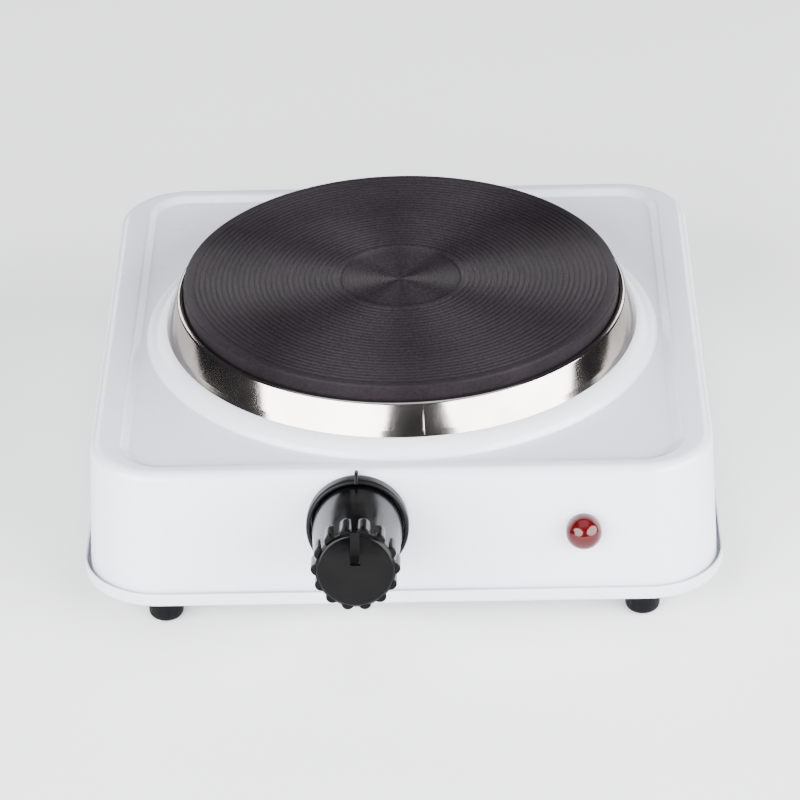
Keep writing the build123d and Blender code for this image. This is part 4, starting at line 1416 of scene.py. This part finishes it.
# ------------------------------------------------------------------- control
@dataclass
class Control(SubAssembly):
    """Lobed control knob and the bezel that it turns in."""

    title: str = "control"
    length: float = 42.0 * MM
    skirt_r: float = 15.5 * MM
    front_r: float = 13.3 * MM
    skirt_from: float = 0.9 * MM
    skirt_to: float = 5.0 * MM
    lobes: int = 14
    lobe_r: float = 2.1 * MM
    lobe_centre_r: float = 12.7 * MM
    lobe_length: float = 8.6 * MM
    lobe_edge: float = 0.5 * MM
    face_r: float = 12.2 * MM
    setback: float = 1.0 * MM
    dome: float = 0.7 * MM
    wall: float = 2.0 * MM
    boss_r: float = 5.6 * MM
    spindle_r: float = 3.0 * MM
    flat_at: float = 2.5 * MM
    slot_width: float = 3.4 * MM
    slot_depth: float = 0.9 * MM
    slot_from: float = 2.0 * MM
    bezel_r: float = 17.4 * MM
    bezel_t: float = 5.0 * MM
    bezel_gap: float = 0.4 * MM
    fin_width: float = 1.3 * MM
    fin_out: float = 1.8 * MM
    fin_proud: float = 0.8 * MM
    columns_a_lobe: int = 32
    lobe_ease: float = 0.22 * MM
    skirt_edge: tuple[tuple[float, float], ...] = ((0.35 * MM, 0.0), (0.1 * MM, 0.1 * MM), (0.0, 0.35 * MM))
    skirt_blend: tuple[float, float] = (0.4 * MM, 0.5 * MM)
    rim_edge: float = 0.15 * MM
    face_step: tuple[tuple[float, float], ...] = (
        (0.35 * MM, -0.22 * MM), (0.0, 0.02 * MM), (-0.4 * MM, 0.07 * MM))
    slot_edge: float = 0.35 * MM
    bezel_rounds: tuple[float, ...] = (0.1 * MM, 0.1 * MM, 1.0 * MM, 0.25 * MM)
    bezel_columns: int = 224
    fin_root: float = 0.2 * MM
    fin_edge: float = 0.25 * MM
    fin_chamfer: tuple[float, float, float] = (0.9 * MM, 0.5 * MM, 1.3 * MM)
    bore_end: float = 30.5 * MM
    bore_from: float = 8.0 * MM
    clip_r: float = 3.1 * MM
    clip_to: float = 7.3 * MM
    boss_back: float = 4.2 * MM
    boss_edge: float = 0.4 * MM
    end_wall: float = 3.0 * MM
    crisp_degrees: float = 42.0

    def rim_at(self) -> float:
        """Distance from the wall to the knob's front rim."""
        return self.length - self.dome - self.setback

    def grip_r(self, s: float) -> float:
        """Radius of the taper at a distance from the wall.

        Args:
            s: Distance from the wall.

        Returns:
            The radius there.
        """
        rim = self.rim_at()
        share = min(max((s - self.skirt_to) / (rim - self.skirt_to), 0.0), 1.0)
        return self.skirt_r - (self.skirt_r - self.front_r) * share

    def lobed_r(self, s: float, angles: np.ndarray) -> np.ndarray:
        """Outer radius with lobes, eased where a lobe meets the taper.

        Args:
            s: Distance from the wall.
            angles: Angle of each column.

        Returns:
            Radius of each column.
        """
        base = np.full(len(angles), self.grip_r(s))
        rim = self.rim_at()
        back = rim - self.lobe_length
        lobe = self.lobe_r if s >= back else math.sqrt(max(self.lobe_r ** 2 - (back - s) ** 2, 0.0))
        if lobe <= 0:
            return base
        pitch = 2 * math.pi / self.lobes
        offset = (angles / pitch + 0.5) % 1.0 - 0.5
        sine = np.sin(offset * pitch)
        inside = lobe ** 2 - (self.lobe_centre_r * sine) ** 2
        bump = self.lobe_centre_r * np.cos(offset * pitch) + np.sqrt(np.maximum(inside, 0.0))
        bump = np.where(inside > 0, bump, self.lobe_centre_r * 0.5)
        ease = self.lobe_ease
        mix = np.clip(0.5 + 0.5 * (bump - base) / ease, 0, 1)
        return base * (1 - mix) + bump * mix + ease * mix * (1 - mix)

    def outer_rings(self, angles: np.ndarray) -> list[Loop]:
        """Loops from the back of the skirt to the middle of the face.

        Args:
            angles: Angle of each column.

        Returns:
            Loops in order.
        """
        rim = self.rim_at()
        back = rim - self.lobe_length
        loops: list[Loop] = []
        for inset, s in self.skirt_edge:
            loops.append(MeshTool.circle(self.skirt_r - inset, self.skirt_from + s, angles))
        levels = [self.skirt_to - self.skirt_blend[0], self.skirt_to, self.skirt_to + self.skirt_blend[1]]
        levels += list(np.linspace(self.skirt_to + 3 * MM, back - self.lobe_r, 9))
        levels += [back - self.lobe_r * math.cos(math.pi / 2 * k / 7) for k in range(1, 8)]
        levels += list(np.linspace(back + 1 * MM, rim - self.lobe_edge, 5))
        for s in levels:
            loops.append(MeshTool.circle(self.lobed_r(s, angles), s, angles))
        outer = self.lobed_r(rim - self.lobe_edge, angles)
        proud = np.clip((outer - self.front_r) / (1.0 * MM), 0, 1)
        edge = self.rim_edge + (self.lobe_edge - self.rim_edge) * proud
        for k in range(1, 7):
            turn = math.pi / 2 * k / 6
            loop = MeshTool.circle(outer - edge * (1 - math.cos(turn)), rim, angles)
            loop[:, 2] = rim - edge * (1 - math.sin(turn))
            loops.append(loop)
        face = self.length - self.dome
        loops.append(MeshTool.circle(self.front_r - 0.2 * MM, rim + 0.03 * MM, angles))
        for out, up in self.face_step:
            loops.append(MeshTool.circle(self.face_r + out, face + up, angles))
        for share in (0.85, 0.7, 0.5, 0.3, 0.12):
            radius = self.face_r * share
            loops.append(MeshTool.circle(radius, self.length - self.dome * share ** 2, angles))
        return loops

    def inner_rings(self, angles: np.ndarray) -> list[Loop]:
        """Loops from the bottom of the spindle's bore out to the back of the skirt.

        Args:
            angles: Angle of each column.

        Returns:
            Loops in order.
        """
        rim = self.rim_at()
        flat = np.ones(len(angles))
        up = np.maximum(np.sin(angles), 1e-6)
        bored = np.minimum(flat * self.spindle_r, self.flat_at / up)
        inside = self.skirt_r - self.wall
        steps = [(self.clip_r, self.clip_to), (self.clip_r, self.boss_back),
                 (self.boss_r - self.boss_edge, self.boss_back),
                 (self.boss_r, self.boss_back + self.boss_edge),
                 (self.boss_r, rim - self.end_wall), (self.grip_r(rim) - self.wall, rim - self.end_wall),
                 (inside, self.skirt_to), (inside, self.skirt_from + 0.3 * MM),
                 (inside + 0.3 * MM, self.skirt_from)]
        loops = [MeshTool.circle(bored * 0.3, self.bore_end, angles),
                 MeshTool.circle(bored, self.bore_end, angles),
                 MeshTool.circle(bored, self.bore_from, angles)]
        return loops + [MeshTool.circle(radius, s, angles) for radius, s in steps]

    def make_knob(self) -> Piece:
        """Closed mesh of the knob, with its pointer slot cut in.

        Returns:
            The knob on its own axis.
        """
        count = self.lobes * self.columns_a_lobe
        angles = np.linspace(0, 2 * math.pi, count, endpoint=False) + math.pi / 2 - math.pi / self.lobes
        loops = self.inner_rings(angles) + self.outer_rings(angles)
        knob = MeshTool.close_on_axis("control_knob", loops, self.bore_end, self.length)
        low = Vector((-self.slot_width / 2, self.slot_from, self.length - self.dome - self.slot_depth))
        high = Vector((self.slot_width / 2, self.skirt_r + 2 * MM, self.length + 3 * MM))
        slot = MeshTool.box("slot", low, high, self.slot_edge, 4)
        MeshTool.combine(knob, slot, "DIFFERENCE")
        MeshTool.split_edges(knob, self.crisp_degrees)
        return knob

    def make_bezel(self) -> Piece:
        """Ring round the knob's skirt, with an index fin at the top.

        Returns:
            The bezel on the knob's axis.
        """
        bore = self.skirt_r + self.bezel_gap
        corners = [(bore, 0.0), (self.bezel_r, 0.0), (self.bezel_r, self.bezel_t), (bore, self.bezel_t)]
        section = MeshTool.rounded(corners, list(self.bezel_rounds))
        ring = MeshTool.spin("bezel_ring", section, self.bezel_columns)
        low = Vector((-self.fin_width / 2, bore + self.fin_root, 0.0))
        high = Vector((self.fin_width / 2, self.bezel_r + self.fin_out, self.bezel_t + self.fin_proud))
        fin = MeshTool.box("fin", low, high, self.fin_edge, 3)
        beyond, below, drop = self.fin_chamfer
        for vertex in fin.data.vertices:
            if vertex.co.z > self.bezel_t - below and vertex.co.y > self.bezel_r + beyond:
                vertex.co.z -= drop
        MeshTool.combine(ring, fin, "UNION")
        MeshTool.split_edges(ring, self.crisp_degrees)
        return ring

    def build(self, seats: WallSeats) -> None:
        """Make and dress the knob and the bezel.

        Args:
            seats: Places on the walls.
        """
        gloss = Phenolic("knob_gloss", (0.0007, 0.0006, 0.0008), (0.14, 0.22), 0.0, 0.11).build()
        satin = Phenolic("bezel_satin", (0.002, 0.002, 0.0025), (0.30, 0.40), 0.0, 0.12).build()
        knob = MeshTool.place(self.make_knob(), seats.knob())
        self.keep(knob, gloss, Body.KNOB, "knob_black", "knob")
        bezel = MeshTool.place(self.make_bezel(), seats.knob())
        self.keep(bezel, satin, Body.HOUSING, "bezel_black", "bezel")


# ------------------------------------------------- lamp, feet and cord entry
@dataclass
class PilotLamp(SubAssembly):
    """Domed red lens on the front wall."""

    title: str = "pilot lamp"
    radius: float = 6.0 * MM
    proud: float = 7.8 * MM
    stem_r: float = 4.6 * MM
    stem_length: float = 9.0 * MM
    wall: float = 1.1 * MM
    straight_share: float = 0.42
    foot_rounds: tuple[float, ...] = (0.0, 0.3 * MM, 0.1 * MM, 0.15 * MM, 0.0)
    dome_steps: int = 14

    def outline(self) -> Outline:
        """Section from the top of the dome round to the top of the hollow.

        Returns:
            Outline that starts and ends on the axis.
        """
        straight = self.proud * self.straight_share
        rise = self.proud - straight
        dome_r = (self.radius ** 2 + rise ** 2) / (2 * rise)
        sweep = math.asin(min(self.radius / dome_r, 1.0))
        turns = [sweep * k / self.dome_steps for k in range(self.dome_steps + 1)]
        outline = [(dome_r * math.sin(t), self.proud - dome_r * (1 - math.cos(t))) for t in turns]
        bore = self.stem_r - self.wall
        end = -self.stem_length
        foot = MeshTool.rounded([(self.radius, straight), (self.radius, 0.0), (self.stem_r, 0.0),
                                 (self.stem_r, end), (bore, end)],
                                list(self.foot_rounds), 4, closed=False)
        hollow = [(bore, straight - 0.8 * MM), (bore - 0.3 * MM, straight - 0.2 * MM),
                  (bore - 1.2 * MM, straight), (0.0, straight + 0.1 * MM)]
        return outline + foot[1:] + hollow

    def build(self, seats: WallSeats) -> None:
        """Make and dress the lens.

        Args:
            seats: Places on the walls.
        """
        lens = MeshTool.spin("lamp_cap", self.outline(), 96)
        MeshTool.split_edges(lens, 45)
        MeshTool.place(lens, seats.lamp())
        self.keep(lens, ClearRed().build(), Body.HOUSING, "lens_red", "lamp_lens")


@dataclass
class Feet(SubAssembly):
    """Four push-in rubber feet."""

    title: str = "feet"
    radius: float = 6.0 * MM
    edge_round: float = 2.6 * MM
    neck_r: float = 3.5 * MM
    barb_r: float = 4.6 * MM
    dimple_r: float = 2.2 * MM
    dimple_depth: float = 0.5 * MM
    pan_sheet: float = 0.8 * MM

    def outline(self, pad_top: float, floor: float, top: float) -> Outline:
        """Section from the dimple in the sole up to the barb's tip.

        Args:
            pad_top: Height of the pad's top face.
            floor: Height of the tray's inner floor.
            top: Height of the barb's tip.

        Returns:
            Outline that starts and ends on the axis.
        """
        sole = [(0.0, self.dimple_depth), (self.dimple_r * 0.6, self.dimple_depth * 0.8),
                (self.dimple_r, 0.0)]
        body = MeshTool.rounded([(self.dimple_r, 0.0), (self.radius, 0.0), (self.radius, pad_top),
                                 (self.neck_r, pad_top), (self.neck_r, floor), (self.barb_r, floor),
                                 (self.neck_r * 0.7, top), (0.0, top)],
                                [0, self.edge_round, 0.4 * MM, 0, 0, 0.3 * MM, 0.5 * MM, 0], 8, closed=False)
        return sole + body[1:]

    def build(self, seats: WallSeats) -> None:
        """Make and dress the feet.

        Args:
            seats: Places on the walls, which the feet don't use.
        """
        rubber = Rubber().build()
        pad_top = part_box("bottom_pan")[0].z
        for name in FEET_NODES:
            outline = self.outline(pad_top, pad_top + self.pan_sheet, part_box(name)[1].z)
            foot = MeshTool.spin("pad_" + name[5:], outline, 64)
            MeshTool.split_edges(foot, 45)
            MeshTool.place(foot, Matrix.Translation((*plan_middle(name), 0)))
            self.keep(foot, rubber, Body.HOUSING, "foot_rubber", name)


@dataclass
class CordEntry(SubAssembly):
    """Snap-in gland on the back wall."""

    title: str = "cord entry"
    flange_r: float = 8.6 * MM
    flange_t: float = 2.4 * MM
    bore_r: float = 3.75 * MM
    neck_r: float = 6.0 * MM
    lip_r: float = 7.6 * MM
    lip_t: float = 2.0 * MM
    lip_taper: float = 0.8 * MM
    wall: float = 0.8 * MM
    rounds: tuple[float, ...] = (0.5 * MM, 1.0 * MM, 0.2 * MM, 0, 0, 0.3 * MM, 0.4 * MM, 0.4 * MM)

    def build(self, seats: WallSeats) -> None:
        """Make and dress the gland.

        Args:
            seats: Places on the walls.
        """
        back = -self.wall
        tip = back - self.lip_t
        corners = [(self.bore_r, self.flange_t), (self.flange_r, self.flange_t), (self.flange_r, 0.0),
                   (self.neck_r, 0.0), (self.neck_r, back), (self.lip_r, back),
                   (self.lip_r - self.lip_taper, tip), (self.bore_r, tip)]
        gland = MeshTool.spin("cord_gland", MeshTool.rounded(corners, list(self.rounds)), 72)
        MeshTool.split_edges(gland, 45)
        MeshTool.place(gland, seats.gland())
        self.keep(gland, Rubber(name="gland_rubber").build(), Body.HOUSING, "gland_rubber", "cable_gland")


# ------------------------------------------------------------------- insides
@dataclass
class Insides(SubAssembly):
    """Parts inside the case, which keep their CAD shape and get their finish here."""

    title: str = "insides"

    def build(self, seats: WallSeats) -> None:
        """Dress every piece inside.

        Args:
            seats: Places on the walls, which these parts don't use.
        """
        zinc = PlatedMetal("zinc_plate", (0.62, 0.62, 0.60), (0.50, 0.50, 0.47)).build()
        brass = PlatedMetal("brass_strip", (0.72, 0.56, 0.28), (0.56, 0.42, 0.20)).build()
        bimetal = PlatedMetal("bimetal_strip", (0.50, 0.47, 0.42), (0.40, 0.38, 0.35)).build()
        wire = PlatedMetal("heater_wire", (0.33, 0.30, 0.28), (0.24, 0.20, 0.18), (0.45, 0.6)).build()
        steatite = DryBody("steatite", (0.78, 0.74, 0.66)).build()
        powder = DryBody("packed_powder", (0.60, 0.56, 0.50), 900.0, 0.08 * MM).build()
        nylon = DryBody("natural_nylon", (0.74, 0.73, 0.68), 260.0, 0.01 * MM, (0.35, 0.5)).build()
        resistor = DryBody("resistor_body", (0.45, 0.33, 0.20), 400.0, 0.01 * MM, (0.3, 0.45)).build()
        self.dress(zinc, "pan_screws", "burner_cover", "centre_stud", "stud_spacer", "clamp_bridge",
                   "clamp_washer", "stud_nuts", "thermostat_frame", "thermostat_screws", "spindle",
                   "spindle_circlip", "knob_clip", "stack_rivet", "lamp_speed_nut", "mains_block_screw",
                   "earth_screw", "earth_nuts", "pole_screws", "plate_pins")
        self.dress(brass, "thermostat_bush", "moving_blade", "fixed_blade", "contact_buttons", "blade_crimps",
                   "pin_crimps", "earth_lug")
        self.dress(bimetal, "bimetal_strip")
        self.dress(wire, "heating_coils")
        self.dress(steatite, "plate_terminal_body", "ceramic_spacers", "push_pin")
        self.dress(powder, "coil_packing")
        self.dress(nylon, "lamp_holder", "mains_block")
        self.dress(BulbGlass().build(), "glow_bulb")
        self.dress(resistor, "lamp_resistor")
        for name, colour in (("lead_live", (0.16, 0.07, 0.03)), ("lead_switched", (0.36, 0.03, 0.03)),
                             ("lead_neutral", (0.03, 0.08, 0.35)), ("lead_earth", (0.10, 0.32, 0.06)),
                             ("lead_lamp_right", (0.36, 0.03, 0.03)), ("lead_lamp_left", (0.03, 0.08, 0.35))):
            self.dress(DryBody(name + "_sleeve", colour, 800.0, 0.05 * MM, (0.5, 0.65)).build(), name)


# -------------------------------------------------------------------- studio
@dataclass(frozen=True)
class SoftBox:
    """A broad lamp on a sphere round the object, facing its middle."""

    name: str
    azimuth: float
    elevation: float
    distance: float
    width: float
    height: float
    power: float
    tint: Triple = (1.0, 1.0, 1.0)
    shape: str = "RECTANGLE"

    def light(self, target: Vector) -> Piece:
        """Add the lamp. Azimuth 0 is in front of the object, and 90 on its right.

        Args:
            target: The point that it faces.

        Returns:
            The lamp.
        """
        data = bpy.data.lights.new(self.name, "AREA")
        data.shape = self.shape
        data.size = self.width
        data.size_y = self.height
        data.energy = self.power
        data.color = self.tint
        a, e = math.radians(self.azimuth), math.radians(self.elevation)
        back = Vector((math.sin(a) * math.cos(e), -math.cos(a) * math.cos(e), math.sin(e)))
        lamp = bpy.data.objects.new(self.name, data)
        lamp.location = target + back * self.distance
        lamp.rotation_mode = "QUATERNION"
        lamp.rotation_quaternion = back.to_track_quat("Z", "Y")
        bpy.context.scene.collection.objects.link(lamp)
        return lamp


@dataclass
class Studio:
    """Pale floor, soft light and the camera."""

    camera_at: Triple = (0.01936, -1.1643, 0.7357)
    yaw: float = math.radians(-1.004)
    pitch: float = math.radians(30.944)
    roll: float = math.radians(-1.464)
    lens: float = 170.9
    sensor: float = 36.0
    floor_r: float = 0.80
    world_grey: Triple = (0.05, 0.05, 0.055)
    boxes: tuple[SoftBox, ...] = (
        SoftBox("box_over", 0.0, 80.0, 1.6, 1.7, 1.4, 13.0, (0.86, 0.93, 1.0)),
        SoftBox("box_front_right", 57.0, 19.0, 1.5, 2.1, 1.25, 112.0, shape="ELLIPSE"),
        SoftBox("box_front_left", -39.0, 19.0, 1.5, 1.8, 1.25, 97.0, shape="ELLIPSE"),
        SoftBox("box_back_right", 150.0, 24.0, 1.7, 0.8, 0.6, 8.0),
        SoftBox("box_back_left", -150.0, 24.0, 1.7, 0.8, 0.6, 8.0),
    )

    def build(self) -> None:
        """Add the floor, the lamps, the world and the camera."""
        self.add_floor()
        for box in self.boxes:
            box.light(Vector((0.0, 0.0, 0.04)))
        self.add_world()
        self.add_camera()

    def add_floor(self) -> None:
        """Plain pale floor under the feet."""
        rim = MeshTool.circle(self.floor_r, 0.0, np.linspace(0, 2 * math.pi, 96, endpoint=False))
        mesh = bpy.data.meshes.new("floor")
        mesh.from_pydata([tuple(p) for p in rim], [], [tuple(range(len(rim)))])
        floor = MeshTool.link_mesh("floor", mesh)
        bench = NodeBench("floor_paper")
        grain = bench.noise(300.0, 2.0)
        bench.feed("Base Color", bench.blend(grain, (0.95, 0.95, 0.95), (0.97, 0.97, 0.97)))
        bench.put("Roughness", 0.9)
        floor.data.materials.append(bench.material)

    def add_world(self) -> None:
        """Even grey surround."""
        world = bpy.data.worlds.new("surround")
        world.use_nodes = True
        background = world.node_tree.nodes["Background"]
        background.inputs["Color"].default_value = (*self.world_grey, 1.0)
        background.inputs["Strength"].default_value = 1.0
        bpy.context.scene.world = world

    def add_camera(self) -> None:
        """Camera in front and above, looking slightly down."""
        cos_p, sin_p = math.cos(self.pitch), math.sin(self.pitch)
        forward = Vector((math.sin(self.yaw) * cos_p, math.cos(self.yaw) * cos_p, -sin_p))
        level = Vector((math.cos(self.yaw), -math.sin(self.yaw), 0.0))
        upright = level.cross(forward)
        right = math.cos(self.roll) * level + math.sin(self.roll) * upright
        up = math.cos(self.roll) * upright - math.sin(self.roll) * level
        data = bpy.data.cameras.new("camera")
        data.lens = self.lens
        data.sensor_width = self.sensor
        data.clip_start = 0.05
        data.clip_end = 30.0
        camera = bpy.data.objects.new("camera", data)
        turn = Matrix((right, up, -forward)).transposed().to_4x4()
        camera.matrix_world = Matrix.Translation(Vector(self.camera_at)) @ turn
        bpy.context.scene.collection.objects.link(camera)
        bpy.context.scene.camera = camera


def main() -> None:
    """Build every sub-assembly, then the studio."""
    logging.basicConfig(level=logging.INFO, format="%(message)s")
    seats = WallSeats()
    for group in (Shell(), Pan(), Burner(), Control(), PilotLamp(), Feet(), CordEntry(), Insides()):
        group.build(seats)
        group.report()
    Studio().build()


if __name__ == "__main__":
    main()
